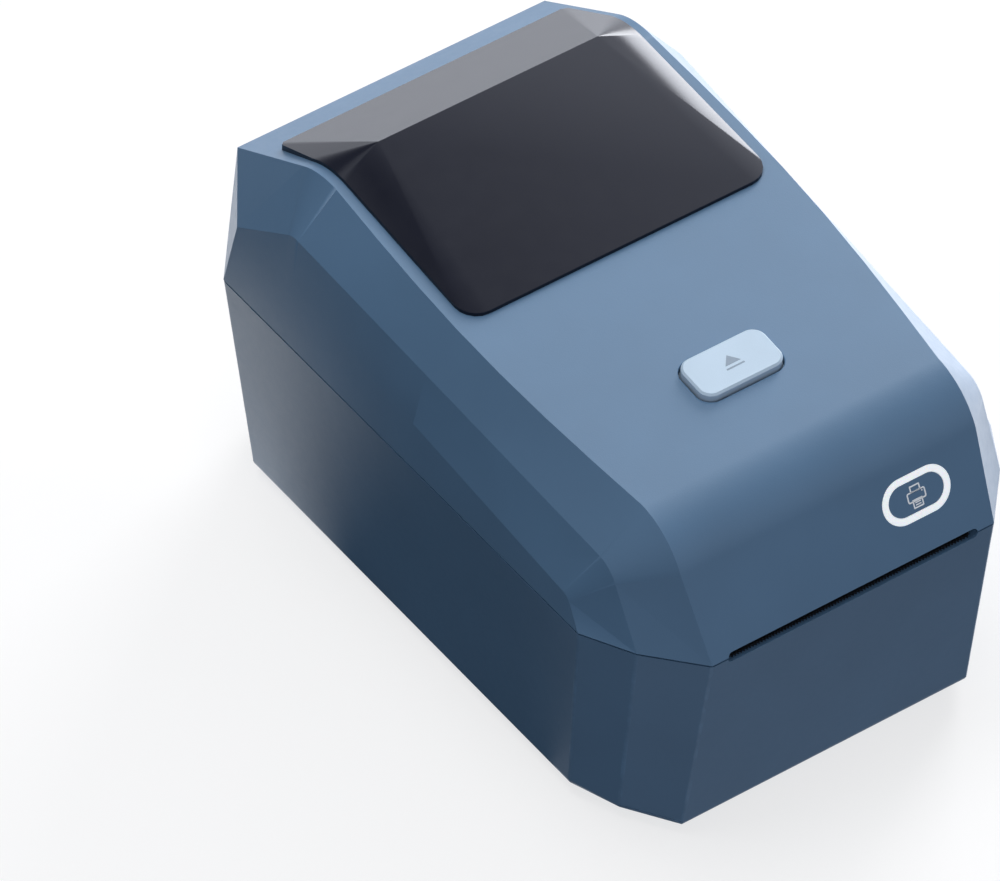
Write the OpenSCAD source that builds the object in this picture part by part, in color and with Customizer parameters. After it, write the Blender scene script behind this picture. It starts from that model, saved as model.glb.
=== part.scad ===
// Thermal label printer: a desktop clamshell printer for rolls up to 80 mm wide.
// The lower case holds the roll tray, the platen with its geared motor and the
// circuit board. The lid swings back on two pins at the rear and carries the
// print head, its latch, the tear bar and the two buttons.
//
// Millimetres. X runs across the printer, Y from the front to the rear and Z up.
// The origin is on the surface that the feet stand on, under the middle.
// A "depth" is measured backwards from the front edge of the seam.

/* [Case] */
// Depth from the front edge of the seam to the rear wall
body_d = 221; // [210:1:240]
// Width across the two sides at the seam
body_w = 141; // [139:1:156]
// Height of the seam between case and lid above the case floor
seam_h = 73.2; // [72:0.1:82]
// Gap between the case and the lid along the seam
seam_gap = 0.6; // [0.4:0.1:1]
// Thickness of the moulded walls
wall = 2.5; // [2:0.1:3]
// Width of the flat front at the seam
front_flat_w = 96; // [90:1:100]
// Depth of the corner between the two front facets at the seam
inner_corner_d = 15.8; // [14:0.1:18]
// Depth of the corner where the side begins at the seam
outer_corner_d = 31.5; // [28:0.1:36]
// Width of the outer front facet, seen from the front
outer_facet_w = 8.5; // [7:0.1:10]
// Width of the rear corner facet, seen from the rear
rear_facet_w = 17.5; // [15:0.1:19]
// Depth of the rear corner facet, seen from the side
rear_facet_d = 18; // [15:0.1:19]
// How far the front leans in from the seam to the floor
front_taper = 11.4; // [9:0.1:13]
// How far each side leans in from the seam to the floor
side_taper = 5.3; // [4:0.1:6]
// How far the rear leans in from the seam to the floor
rear_taper = 4; // [3:0.1:5]
// Radius of the rounded edge around the floor
floor_edge_r = 4; // [3:0.5:7]

/* [Lid form] */
// Depth of the brow, where the front turns into the long slope
brow_d = 17.6; // [16:0.1:20]
// Height of the brow above the seam
brow_rise = 37.5; // [36:0.1:44]
// Radius of the brow
brow_r = 22; // [16:1:26]
// Depth of the ridge, where the long slope turns into the rear slope
ridge_d = 178.6; // [175:0.1:184]
// Height of the ridge above the seam
ridge_rise = 52.4; // [51:0.1:60]
// Radius of the ridge
ridge_r = 28; // [20:1:34]
// Height of the lid's rear edge above the seam
rear_rise = 28.3; // [25:0.1:34]
// Inset of the long slope's edge from the side, at the brow
brow_inset = 20.5; // [19:0.1:22]
// How far the long slope's edge bows out between the brow and the ridge
slope_bow = 3.5; // [2:0.1:4]
// Inset of the long slope's edge from the side, at the ridge
ridge_inset = 16.3; // [15:0.1:18]
// Width of the upper side facet's lower edge inset, at the front
upper_facet_inset = 8; // [7:0.1:9]
// Drop from the brow to the front end of the upper side facet
upper_facet_drop = 13.4; // [12:0.1:15]
// Drop from the ridge to the rear end of the upper side facet
upper_facet_rear_drop = 15.5; // [14:0.1:17]
// Height above the seam at which the side turns into the lower side facet
side_rise = 9.1; // [7:0.1:11]

/* [Gloss panel] */
// Width of the gloss panel at its front
panel_w = 103.6; // [96:0.1:104]
// Width of the gloss panel at its rear
panel_rear_w = 98.4; // [90:0.1:99]
// Depth of the panel's front edge
panel_front_d = 109.5; // [106:0.1:116]
// Distance of the panel's rear edge from the rear wall
panel_rear_margin = 15.5; // [12:0.1:20]
// Thickness of the panel's rim
panel_rim = 1.2; // [1:0.1:2]
// Height of the panel's crest over the case's own ridge line
panel_crest = 6.2; // [4:0.1:8]
// Length of the panel's crest
panel_crest_w = 74.8; // [60:0.1:84]

/* [Label path] */
// Widest label roll that the printer takes
media_w = 80; // [72:1:81]
// Largest roll radius
roll_r = 48; // [44:0.5:49]
// Radius of the roll's core
core_r = 12.7; // [11:0.1:14]
// Radius of the platen roller
platen_r = 7.5; // [7:0.1:8]
// Depth of the platen's axis
platen_d = 19; // [18.5:0.1:20]
// Height of the label's path above the seam
label_rise = 0.3; // [0:0.1:0.6]
// Height of the label slot above the seam, in the lid
slot_up = 1.6; // [1.2:0.1:2.4]
// Depth of the label slot below the seam, in the case
slot_down = 2; // [1.4:0.1:2.6]
// Pitch of the tear bar's teeth
tear_pitch = 1; // [0.8:0.1:1.6]

/* [Drive] */
// Module of the drive gears
gear_m = 0.8; // [0.7:0.05:0.85]
// Teeth of the platen's gear
platen_teeth = 20; // [18:1:20]
// Teeth of the idler's small wheel
idler_small_teeth = 14; // [13:1:15]
// Teeth of the idler's large wheel
idler_large_teeth = 32; // [28:1:33]
// Teeth of the motor's pinion
motor_teeth = 12; // [12:1:14]
// Radius of the stepper motor
motor_r = 17.5; // [15:0.5:18]
// Length of the stepper motor
motor_len = 20; // [16:0.5:26]
// Radius of the platen's shaft
shaft_r = 3; // [2.5:0.1:3.5]
// Thickness of the drive frame's sheet
sheet = 1.5; // [1:0.1:2]

/* [Roll guides] */
// How far each roll guide moves in
guide_travel = 30; // [20:1:30]
// Module of the guide racks
rack_m = 1; // [0.9:0.05:1.05]
// Teeth of the guide pinion
rack_pinion_teeth = 16; // [14:2:18]
// Thickness of the guide racks
rack_t = 3; // [2.4:0.1:3.2]

/* [Buttons and latch] */
// Width of the open button
open_w = 27.8; // [24:0.1:32]
// Length of the open button along the slope
open_l = 15.2; // [13:0.1:18]
// Height of the open button above the slope
open_proud = 2.2; // [1.5:0.1:3]
// Depth of the open button's middle
open_d = 58; // [56:0.1:62]
// Travel of the open button
open_travel = 2; // [1.5:0.1:2.2]
// Distance of the feed button's middle from the widest part of the side
feed_side = 43.8; // [40:0.1:50]
// Height of the feed button's middle above the seam, along the front
feed_up = 18.6; // [17:0.1:20]
// Outer radius of the light ring's round ends
ring_r = 6.9; // [6:0.1:7.5]
// Width of the light ring
ring_w = 2.1; // [1.6:0.1:2.6]
// Distance between the centres of the ring's round ends
ring_straight = 9; // [7:0.1:11]
// Travel of the feed button
feed_travel = 0.5; // [0.3:0.1:0.6]

/* [Feet and fasteners] */
// Height of the feet below the case
foot_h = 2; // [1.5:0.1:4]
// Radius of the feet
foot_r = 8; // [6:0.5:9]
// Radius of the case screws
screw_r = 1.25; // [1:0.05:1.5]

/* [Hidden] */
$fn = 48;

// Clearances shared by the pieces
run = 0.05;        // radial clearance of a shaft in its bearing
fit = 0.3;         // clearance between pieces that pass or cover each other
eps = 0.01;        // thickness of the slices that a rounded form is spanned over
over = 1;          // how far a cutting shape reaches past what it cuts

// Heights
floor_z = foot_h;
floor_top = floor_z + wall;
seam_z = floor_z + seam_h;
label_z = seam_z + label_rise;
half_w = body_w / 2;

// Turns a depth from the front into Y
function at(depth) = depth - body_d / 2;

// ---- Outer form -----------------------------------------------------------

// Right half of the outline at the seam and at the floor, from front to rear
inner_corner_x = half_w - outer_facet_w;
front_flare = 1.2;       // the flat front is wider at the floor
corner_taper = 2.4;      // the corner between the front facets leans in
rear_side_taper = 5.7;   // the rear end of each side moves forward
seam_half = [[front_flat_w / 2, 0], [inner_corner_x, inner_corner_d], [half_w, outer_corner_d],
             [half_w, body_d - rear_facet_d], [half_w - rear_facet_w, body_d]];
floor_half = [seam_half[0] + [front_flare, front_taper],
              seam_half[1] + [-corner_taper, front_taper],
              seam_half[2] + [-side_taper, front_taper],
              seam_half[3] + [-side_taper, -rear_side_taper],
              seam_half[4] + [-side_taper - rear_taper / 2, -rear_taper]];

function half_at(z) = [for (i = [0 : len(seam_half) - 1])
    floor_half[i] + (seam_half[i] - floor_half[i]) * (z - floor_z) / seam_h];

// Centre of a circle that touches both lines meeting at v, on their inner side
function unit(v) = v / norm(v);
function fillet_centre(a, v, b, r) =
    let (ua = unit(a - v), ub = unit(b - v), half_angle = acos(ua * ub) / 2)
    v + unit(ua + ub) * r / sin(half_angle);

// The half outline moved in by inset on every edge
function mirrored(p) = [-p[0], p[1]];
function inset_half(half, inset) = inset == 0 ? half :
    [for (i = [0 : len(half) - 1]) fillet_centre(
        i == 0 ? mirrored(half[0]) : half[i - 1], half[i],
        i == len(half) - 1 ? mirrored(half[i]) : half[i + 1], inset)];

// Closed ring of points at height z around both halves
function ring(half, z) = concat(
    [for (p = half) [p[0], at(p[1]), z]],
    [for (i = [len(half) - 1 : -1 : 0]) [-half[i][0], at(half[i][1]), z]]);

// Solid spanned over a stack of rings from the lowest to the highest
module loft(rings) {
    n = len(rings[0]);
    top = len(rings) - 1;
    sides = [for (k = [0 : top - 1], i = [0 : n - 1]) let (j = (i + 1) % n)
        each [[k * n + i, (k + 1) * n + i, (k + 1) * n + j],
              [k * n + i, (k + 1) * n + j, k * n + j]]];
    polyhedron(points = [for (r = rings) each r],
               faces = concat(sides, [[for (i = [0 : n - 1]) i]],
                              [[for (i = [n - 1 : -1 : 0]) top * n + i]]));
}

// The lower case as a solid, moved in by inset, from bottom up to top
case_rings = 6;
module case_form(inset, bottom, top) {
    fillet = [for (a = [90 : -18 : 0])
        let (z = bottom + floor_edge_r * (1 - sin(a)))
        ring(inset_half(half_at(z), inset + floor_edge_r * (1 - cos(a))), z)];
    start = bottom + floor_edge_r;
    walls = [for (k = [1 : case_rings]) let (z = start + (top - start) * k / case_rings)
        ring(inset_half(half_at(z), inset), z)];
    loft(concat(fillet, walls));
}

// Corner points of the lid's creases as [depth, height above the seam]
brow = [brow_d, brow_rise];
ridge = [ridge_d, ridge_rise];
rear_top = [body_d, rear_rise];
slope_angle = atan2(ridge_rise - brow_rise, ridge_d - brow_d);
front_angle = atan2(brow_rise, brow_d);
rear_angle = atan2(ridge_rise - rear_rise, body_d - ridge_d);
function slope_at(depth) = brow_rise + (depth - brow_d) * tan(slope_angle);
upper_start = 10;         // from the brow back to the upper facet's front end
upper_rear_gap = 4.3;     // from the upper facet's rear end back to the ridge
rear_corner_gap = 21.7;   // from the point of the rear corner back to the rear
rear_corner_drop = 6.2;   // of that point below the lid's rear edge
side_start = 6.6;         // from the outer corner back to the full height of the side
upper_front = [brow_d + upper_start, brow_rise - upper_facet_drop];
upper_rear = [ridge_d - upper_rear_gap, ridge_rise - upper_facet_rear_drop];
upper_end = [body_d - rear_corner_gap, rear_rise - rear_corner_drop];
side_front = [outer_corner_d + side_start, side_rise];
// Radii of the creases' bends, and their insets from the side
rear_edge_r = 1.5;
upper_front_r = 9;
upper_rear_r = 8;
side_front_r = 4;
upper_rear_inset = 4.5;
rear_corner_inset = 2.5;
side_inset = 0.9;
upper_slack = 0.7;        // share of the wall by which the upper facet moves in

// Points of a rounded corner, from the line a-v to the line v-b, moved in by inset
arc_steps = 10;
function arc(a, v, b, r, inset) =
    let (ri = max(r - inset, fit), c = fillet_centre(a, v, b, ri + inset),
         from = atan2(v[1] - a[1], v[0] - a[0]) + 90, to = atan2(b[1] - v[1], b[0] - v[0]) + 90)
    [for (k = [0 : arc_steps]) let (t = from + (to - from) * k / arc_steps)
        c + ri * [cos(t), sin(t)]];

function lift(x, points) = [for (p = points) [x, p[0], p[1]]];

// Points between a and b, which may bow out sideways
mid_steps = 6;
function between(a, b, bow) = [for (k = [1 : mid_steps]) let (t = k / (mid_steps + 1))
    a + (b - a) * t + [bow * sin(180 * t), 0, 0]];
// The points of the line a-b at the depths of other points
function beside(a, b, points) = [for (p = points) a + (b - a) * (p[1] - a[1]) / (b[1] - a[1])];

// The four creases on the right of the lid, as [x, depth, height above the seam],
// each with as many points as the others: the edge of the long slope, the edge of
// the upper side facet, the top of the side and the side's lower edge
function creases(inset, low) =
    let (d = inset_half(seam_half, inset), end = len(d) - 1,
         seam = [for (p = d) [p[0], p[1], low]],
         slack = inset / 2,
         slope_front = lift(half_w - brow_inset - slack,
                            arc([0, 0], brow, ridge, brow_r, inset)),
         slope_rear = lift(half_w - ridge_inset - slack,
                           arc(brow, ridge, rear_top, ridge_r, inset)),
         rear_corner = arc(ridge, rear_top, [body_d, 0], rear_edge_r, inset)[arc_steps / 2],
         slope = concat([seam[0]], slope_front,
                        between(slope_front[arc_steps], slope_rear[0], slope_bow), slope_rear,
                        [[half_w - rear_facet_w - slack, rear_corner[0], rear_corner[1]]],
                        [seam[end]]),
         upper_inset = inset * upper_slack,
         uf = lift(half_w - upper_facet_inset - upper_inset,
                   arc([inner_corner_d, 0], upper_front, upper_rear, upper_front_r, upper_inset)),
         ur = lift(half_w - upper_rear_inset - upper_inset,
                   arc(upper_front, upper_rear, upper_end, upper_rear_r, upper_inset)),
         corner = [half_w - rear_corner_inset - upper_inset, upper_end[0] - upper_inset, upper_end[1] - slack],
         upper_mid = between(uf[arc_steps], ur[0], 0),
         upper = concat([seam[1]], uf, upper_mid, ur, [corner], [seam[end - 1]]),
         sf = lift(half_w - side_inset - inset,
                   arc([outer_corner_d, 0], side_front, upper_end, side_front_r, slack)),
         side = concat([seam[2]], sf, beside(sf[arc_steps], corner, concat(upper_mid, ur)),
                       [corner], [seam[end - 1]]),
         foot = concat([seam[2]],
                       [for (k = [1 : len(side) - 3]) [seam[2][0], side[k][1], low]],
                       [seam[end - 1], seam[end - 1]]))
    [slope, upper, side, foot];

// The lid as a solid, moved in by inset, with its open edge at low above the seam
module lid_form(inset, low) {
    rails = creases(inset, low);
    n = len(rails[0]);
    last = n - 1;
    m = 4 * n;
    points = [for (s = [1, -1], r = rails, p = r) [s * p[0], at(p[1]), seam_z + p[2]]];
    // Creases that meet in one point share it
    function id(s, r, k) = s * m + (r == 3 && k == 0 ? 2 * n : r > 0 && k == last ? 3 * n + last - 1
        : r == 2 && k == last - 1 ? n + last - 1 : r * n + k);
    function turn(s, f) = s == 0 ? f : [f[2], f[1], f[0]];
    function whole(f) = f[0] != f[1] && f[1] != f[2] && f[2] != f[0];
    strips = [for (s = [0, 1], r = [0 : 2], k = [0 : last - 1])
        let (a = id(s, r, k), b = id(s, r, k + 1), c = id(s, r + 1, k + 1), d = id(s, r + 1, k))
        for (f = [[a, b, c], [a, c, d]]) if (whole(f)) turn(s, f)];
    roof = [for (k = [0 : last - 1]) [id(1, 0, k), id(1, 0, k + 1), id(0, 0, k + 1), id(0, 0, k)]];
    function rim(s) = concat([id(s, 0, 0), id(s, 1, 0), id(s, 2, 0)],
                             [for (k = [1 : last - 1]) id(s, 3, k)], [id(s, 0, last)]);
    left = rim(1);
    open_edge = concat(rim(0), [for (i = [len(left) - 1 : -1 : 0]) left[i]]);
    polyhedron(points = points, faces = concat(strips, roof, [open_edge]));
}

// ---- Shared places --------------------------------------------------------

// Hinge: its axis runs along X just inside the rear wall, at the seam
hinge_r = 3.5;
hinge_d = body_d - hinge_r;
hinge_gap = 0.4;
pin_r = 1.5;
pin_len = 14.5;
ear_w = 5;
ear_inset = 8.5;         // of the hinge ears from the rear corner facets
notch_over = 7.5;        // of the notch for the barrel past the ears
ear_x = half_w - rear_facet_w - ear_inset;
rear_notch_half = ear_x + ear_w + notch_over;

// Platen, print line and label slot
platen_over = 2;         // of the platen past the widest label
slot_over = 0.5;         // of the label slot past the platen
platen_z = label_z - platen_r;
platen_half = media_w / 2 + platen_over;
slot_half = platen_half + slot_over;
slot_top = seam_z + slot_up * sin(front_angle);
slot_low = seam_z - slot_down;

// Drive frame and gear train
plate_gap = 1.5;         // between the platen's rubber and the frame's plates
gear_gap = 1;            // between the frame's plate and the gears
wheel_gap = 0.6;         // between the gears and the large wheel
gear_w = 5;
wheel_w = 4;
plate_in = platen_half + plate_gap;
plate_out = plate_in + sheet;
gear_x = plate_out + gear_gap;
wheel_x = gear_x + gear_w + wheel_gap;
wheel_end = wheel_x + wheel_w;
first_centres = gear_m * (platen_teeth + idler_small_teeth) / 2;
second_centres = gear_m * (idler_large_teeth + motor_teeth) / 2;
first_angle = -30;
second_angle = -65;
idler_d = platen_d + first_centres * cos(first_angle);
idler_z = platen_z + first_centres * sin(first_angle);
idler_r = 2;
wheel_r = gear_m * (idler_large_teeth / 2 + 1);
motor_d = idler_d + second_centres * cos(second_angle);
motor_z = idler_z + second_centres * sin(second_angle);
motor_shaft_r = 1.5;
motor_pilot_r = 5;
motor_ear_r = 3.5;
motor_ear = motor_r + motor_ear_r;
motor_ear_angle = 60;
motor_holes = [for (s = [-1, 1]) [motor_d, motor_z]
               + s * motor_ear * [cos(motor_ear_angle), sin(motor_ear_angle)]];
bushing_r = 5;
frame_rise = 8;          // of the frame over the case floor
frame_over = 2.3;        // of the frame behind the motor
frame_z = floor_top + frame_rise;
frame_start = platen_d - 1;
frame_end = motor_d + motor_r + frame_over;
frame_boss_in = [5.5, 5, 7];   // of its screws from the plates, the front and the rear
frame_boss_x = plate_in - frame_boss_in[0];
frame_bosses = [for (x = [-frame_boss_x, frame_boss_x],
                     d = [frame_start + frame_boss_in[1], frame_end - frame_boss_in[2]]) [x, d]];

// Roll tray: a deck just under the label's path with a round well in it
tray_t = 2.2;
deck_drop = 0.8;         // of the deck below the label's path
deck_gap = 3;            // between the platen and the deck
roll_space = 4;          // around the largest roll
well_front = 12.8;       // between the drive frame and the well
side_space = 2.5;        // between the well's ends and the case
rack_rise = 1;           // of the racks over the case floor
rack_space = 1.3;        // between the racks and the well
deck_top = label_z - deck_drop;
deck_start = platen_d + platen_r + deck_gap;
deck_end = hinge_d - hinge_r - 1;
well_r = roll_r + roll_space;
well_d = frame_end + well_front + tray_t + well_r;
rack_z = floor_top + rack_rise;
well_z = rack_z + rack_t + rack_space + tray_t + well_r;
well_half = half_w - side_taper - wall - tray_t - side_space;
well_end = well_d + well_r + tray_t;
pillar_r = 4;
pillar_wall = 1;         // by which the case's pillars are wider than the tray's
pillar_h = 40;
pillar_z = floor_top + pillar_h;
pillar_x = well_half - pillar_r;
pillars = [for (x = [-pillar_x, pillar_x],
                d = [frame_end + well_front / 2, (well_end + body_d - rear_taper - wall) / 2]) [x, d]];
foot_in = [24.5, 42, 39];      // of the feet from the sides, the front and the rear
foot_x = half_w - foot_in[0];
feet = [for (x = [-foot_x, foot_x], d = [foot_in[1], body_d - foot_in[2]]) [x, d]];
foot_sink = 0.8;
foot_edge = 1;
foot_gap = 0.2;
fanfold_over = 1;        // of the way in past the widest folded labels
fanfold_h = 6;
fanfold_half = platen_half + fanfold_over;
fanfold_z = well_z - fanfold_h;

// Circuit board and the connector panel in the rear wall
board_rise = 3.5;
board_t = 1.6;
board_l = 45;
board_side = 25;         // between the board and the widest part of the side
board_z = floor_top + board_rise;
board_top = board_z + board_t;
board_half = half_w - board_side;
connector_sink = 4.3;    // of the connector panel into the rear
connector_side = 26.5;   // between the panel and the widest part of the side
connector_d = body_d - connector_sink;
connector_half = half_w - connector_side;
connector_low = floor_top + 3.2;
connector_top = floor_top + 27.5;
board_gap = 0.7;         // between the board and the panel
board_end = connector_d - wall - board_gap;
standoff_in = [4, 5.5];  // of the board's screws from its sides and its ends
standoffs = [for (x = [standoff_in[0] - board_half, board_half - standoff_in[0]],
                  d = [board_end - standoff_in[1], board_end - board_l + standoff_in[1]]) [x, d]];
usb_x = -14;
usb_size = [12, 16, 11];
jack_in = 10;            // of the jack and the switch from the panel's ends
switch_in = 16;
jack_x = jack_in - connector_half;
jack_size = [9, 14, 11];
switch_x = connector_half - switch_in;
switch_rise = 11;
switch_z = board_top + switch_rise;
switch_size = [18.6, 14, 12.6];
bezel_t = 1;
bezel_w = 1.2;
rocker_half = 6.8;
rocker_angle = 8;
rocker_pin_r = 1.2;
rocker_d = connector_d - 2.2;

// Roll guides and their rack and pinion
pinion_r = rack_m * rack_pinion_teeth / 2;
pinion_bore = 3;
rack_bar = 4;
rack_back = pinion_r + 1.25 * rack_m + rack_bar;
rack_reach = 5;
guide_over = 1;          // between the label and each guide, fully open
guide_in = media_w / 2 + guide_over;
guide_t = 3;
guide_gap = 0.8;         // between the guides and the well
guide_r = well_r - guide_gap;
axle_r = 4;
core_gap = 0.5;
hub_r = core_r - core_gap;
hub_len = 9;
hub_end = 1.5;

// Liner inside the lid, with the print head and the latch
liner_t = 2;
liner_rise = 6.3;        // of its floor over the seam
liner_side = 17.5;       // between it and the widest part of the side
liner_back = 27;         // behind the latch's shaft
liner_start = 4;
liner_z = seam_z + liner_rise;
liner_half = half_w - liner_side;
head_z = label_z + fit;
head_start = platen_d - 5;
head_end = platen_d + 11;
head_t = 1.4;
sink_top = head_z + 5.2;
pivot_d = head_end + 8.5;
pivot_z = liner_z + 6;
cheek_t = 2;
cheek_x = platen_half + cheek_t;
beam_t = 2;
beam_z = liner_z + 10;
spring_x = 25;
spring_d = platen_d + 6;
lever_len = 9;
latch_d = open_d - lever_len;
latch_z = liner_z + 10;
latch_r = 2;
lever_t = 1.5;
tip_r = 1;
hook_side = 13;          // between the hooks and the widest part of the side
hook_w = 3;
hook_x = half_w - hook_side;
latch_wall = hook_x - 7.5;
catch_d = latch_d + 2.5;
catch_z = deck_top - 10.2;
liner_end = latch_d + liner_back;
liner_boss_in = [13, 6, 12];   // rear pair from the sides and the end, front pair from the front
liner_bosses = [for (s = [-1, 1]) each
    [[s * (liner_half - liner_boss_in[0]), liner_end - liner_boss_in[1]],
     [s * (cheek_x + liner_half) / 2, liner_start + liner_boss_in[2]]]];
boss_r = 3.5;

// ---- Shared shapes --------------------------------------------------------

// Plate from x0 on, t thick, from a shape drawn in (depth, height)
module across(x0, t) {
    translate([x0, at(0), 0]) rotate([90, 0, 90]) linear_extrude(t) children();
}
// Rod along X from x0 on, at the given depth and height
module rod(x0, len, depth, z, r) {
    translate([x0, at(depth), z]) rotate([0, 90, 0]) cylinder(r = r, h = len);
}
// Box between two corners given as [x, depth, height]
module block(a, b) {
    translate([a[0], at(a[1]), a[2]]) cube(b - a);
}
// Upright cylinder at p = [x, depth]
module post(p, z, r, h) {
    translate([p[0], at(p[1]), z]) cylinder(r = r, h = h);
}
module both_sides() {
    for (s = [0, 1]) mirror([s, 0, 0]) children();
}
module stadium(straight, r) {
    square([straight, 2 * r], center = true);
    for (s = [-1, 1]) translate([s * straight / 2, 0]) circle(r);
}
module rounded(w, l, r) {
    square([w - 2 * r, l], center = true);
    square([w, l - 2 * r], center = true);
    for (x = [-1, 1], y = [-1, 1]) translate([x * (w / 2 - r), y * (l / 2 - r)]) circle(r);
}
// Places children on the long slope or on the lid's front, with Z pointing out of
// the lid and Y running up the surface
module on_slope(depth) {
    translate([0, at(depth), seam_z + slope_at(depth)]) rotate([slope_angle, 0, 0]) children();
}
module on_front(x, up) {
    translate([x, at(up * cos(front_angle)), seam_z + up * sin(front_angle)])
        rotate([front_angle, 0, 0]) children();
}
// Half a turn about the roll well's middle
module turned() {
    translate([0, at(well_d), 0]) rotate([0, 0, 180]) translate([0, -at(well_d), 0]) children();
}

// Gear outline with its first tooth along X
pressure = 20;
backlash = 0.05;
addendum = 0.9;
dedendum = 1.15;
function involute(a) = tan(a) - a * PI / 180;
function tooth_half(r, pitch_r, teeth) = 90 / teeth
    + (involute(pressure) - involute(acos(min(1, pitch_r * cos(pressure) / r)))
       - backlash / pitch_r) * 180 / PI;
module gear(m, teeth) {
    pitch_r = m * teeth / 2;
    root = pitch_r - dedendum * m;
    tip = pitch_r + addendum * m;
    function at_r(r, mid, s) =
        let (a = mid + s * tooth_half(r, pitch_r, teeth)) r * [cos(a), sin(a)];
    polygon([for (k = [0 : teeth - 1]) let (mid = k * 360 / teeth)
        each [at_r(root, mid, -1), at_r(pitch_r, mid, -1), at_r(tip, mid, -1),
              at_r(tip, mid, 1), at_r(pitch_r, mid, 1), at_r(root, mid, 1)]]);
}
// Gear about the point (depth, height), from x0 on, with a tooth at the given angle
module gear_at(depth, z, x0, w, m, teeth, angle) {
    across(x0, w) translate([depth, z]) rotate(angle) gear(m, teeth);
}

// Round wire along a path, with its ends cut square
wire_sides = 6;
module wire(path, r, axis) {
    n = len(path) - 1;
    loft([for (i = [0 : n])
        let (t = unit(path[min(i + 1, n)] - path[max(i - 1, 0)]),
             u = unit(cross(t, axis)), v = cross(t, u))
        [for (s = [0 : wire_sides - 1]) let (a = 360 * s / wire_sides)
            path[i] + r * (cos(a) * u + sin(a) * v)]]);
}

// ---- Lower case -----------------------------------------------------------

lip_end = 10.3;
lip_t = 3.5;
rib_t = 1.6;
rib_gap = 1;
vent_w = 2.5;
vent_l = 30;
vent_pitch = 8;
screw_head_r = 2.6;
screw_head_h = 2;
low_head_h = 1.6;
screw_len = 18;
short_screw = 6;
shelf_t = 8;
frame_boss_r = 3.5;
standoff_r = 3;
rest_w = 6;              // of the rests that the racks slide on
rest_gap = 0.2;
rest_x = 34;
case_rib_step = 35;
screw_gap = 0.4;
vent_start = 20;         // behind the middle of the well
vents = 3;               // on each side of the middle

module slot_cut() {
    h = slot_top - slot_low;
    r = h / 2 - 0.2;
    translate([0, at(wall * 2), (slot_top + slot_low) / 2]) rotate([90, 0, 0])
        linear_extrude(wall * 4) rounded(2 * slot_half, h, r);
}

module lower_case() {
    case_top = seam_z - seam_gap / 2;
    color("#2f4157") difference() {
        union() {
            difference() {
                case_form(0, floor_z, case_top);
                case_form(wall, floor_top, seam_z + over);
                block([-rear_notch_half, hinge_d - fit, seam_z - hinge_r - hinge_gap],
                      [rear_notch_half, body_d + over, seam_z + over]);
            }
            intersection() {
                case_form(wall / 2, floor_z + wall / 2, case_top);
                union() {
                    block([-slot_half, 0, slot_low - lip_t], [slot_half, lip_end, slot_low]);
                    block([-connector_half - wall, connector_d - wall, floor_z],
                          [connector_half + wall, body_d, connector_top + wall]);
                    both_sides() {
                        block([ear_x, hinge_d - hinge_r + fit / 3, seam_z - 4 * hinge_r],
                              [ear_x + ear_w, hinge_d - fit, case_top]);
                        block([ear_x, hinge_d - hinge_r + fit / 3, seam_z - 4 * hinge_r],
                              [ear_x + ear_w, body_d, seam_z - hinge_r - hinge_gap]);
                        for (k = [-1 : 1]) let (d = well_d + k * case_rib_step)
                            block([well_half + tray_t + rib_gap, d, floor_z],
                                  [half_w, d + rib_t, fanfold_z]);
                    }
                }
            }
            both_sides() rod(ear_x, ear_w, hinge_d, seam_z, hinge_r - fit / 3);
            for (p = pillars) post(p, floor_top - over, pillar_r + pillar_wall, pillar_z - floor_top + over);
            for (p = frame_bosses) post(p, floor_top - over, frame_boss_r, frame_z - floor_top + over);
            for (p = standoffs) post(p, floor_top - over, standoff_r, board_z - floor_top + over);
            post([0, well_d], floor_top - over, pinion_bore, rack_rise + rack_t + 0.8 + over);
            post([0, well_d], floor_top - over, pinion_bore + 1.5, over + rack_rise - rest_gap);
            for (s = [-1, 1], x = [-rest_x, 0, rest_x]) {
                inner = s * (rack_back - rack_bar);
                outer = s * (rack_back + rib_t + fit);
                block([x - rest_w / 2, well_d + min(inner, outer), floor_top - over],
                      [x + rest_w / 2, well_d + max(inner, outer), rack_z - rest_gap]);
                block([x - rest_w / 2, well_d + min(s * (rack_back + fit), outer), floor_top - over],
                      [x + rest_w / 2, well_d + max(s * (rack_back + fit), outer), rack_z + rack_t / 2]);
            }
        }
        slot_cut();
        rod(-ear_x + hinge_gap, 2 * (ear_x - hinge_gap), hinge_d, seam_z, hinge_r + hinge_gap);
        both_sides() rod(ear_x - over, ear_w + 2 * over, hinge_d, seam_z, pin_r);
        // Recessed connector panel with its three cut-outs
        block([-connector_half, connector_d, connector_low],
              [connector_half, body_d + over, connector_top]);
        port_cut(usb_x, usb_size);
        port_cut(jack_x, jack_size);
        block([switch_x - switch_size[0] / 2 - fit, connector_d - 2 * wall,
               switch_z - switch_size[2] / 2 - fit],
              [switch_x + switch_size[0] / 2 + fit, body_d, switch_z + switch_size[2] / 2 + fit]);
        // Way in for folded labels
        block([-fanfold_half, connector_d - wall, fanfold_z],
              [fanfold_half, body_d + over, fanfold_z + fanfold_h]);
        for (k = [-vents : vents])
            block([k * vent_pitch - vent_w / 2, well_d + vent_start, floor_z - over],
                  [k * vent_pitch + vent_w / 2, well_d + vent_start + vent_l, floor_z + 2 * wall]);
        for (p = feet) post(p, floor_z - over, foot_r + foot_gap, foot_sink + over);
        for (p = pillars) {
            post(p, floor_z - over, screw_head_r + screw_gap, pillar_z - shelf_t - floor_z + over);
            post(p, floor_z, screw_r + fit, pillar_z);
        }
        for (p = frame_bosses) post(p, floor_top + over, screw_r + run, frame_z);
        for (p = standoffs) post(p, floor_top, screw_r + run, board_z);
    }
}
module port_cut(x, size) {
    block([x - size[0] / 2 - fit, connector_d - 2 * wall, board_top - fit],
          [x + size[0] / 2 + fit, body_d, board_top + size[2] + fit]);
}

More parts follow.
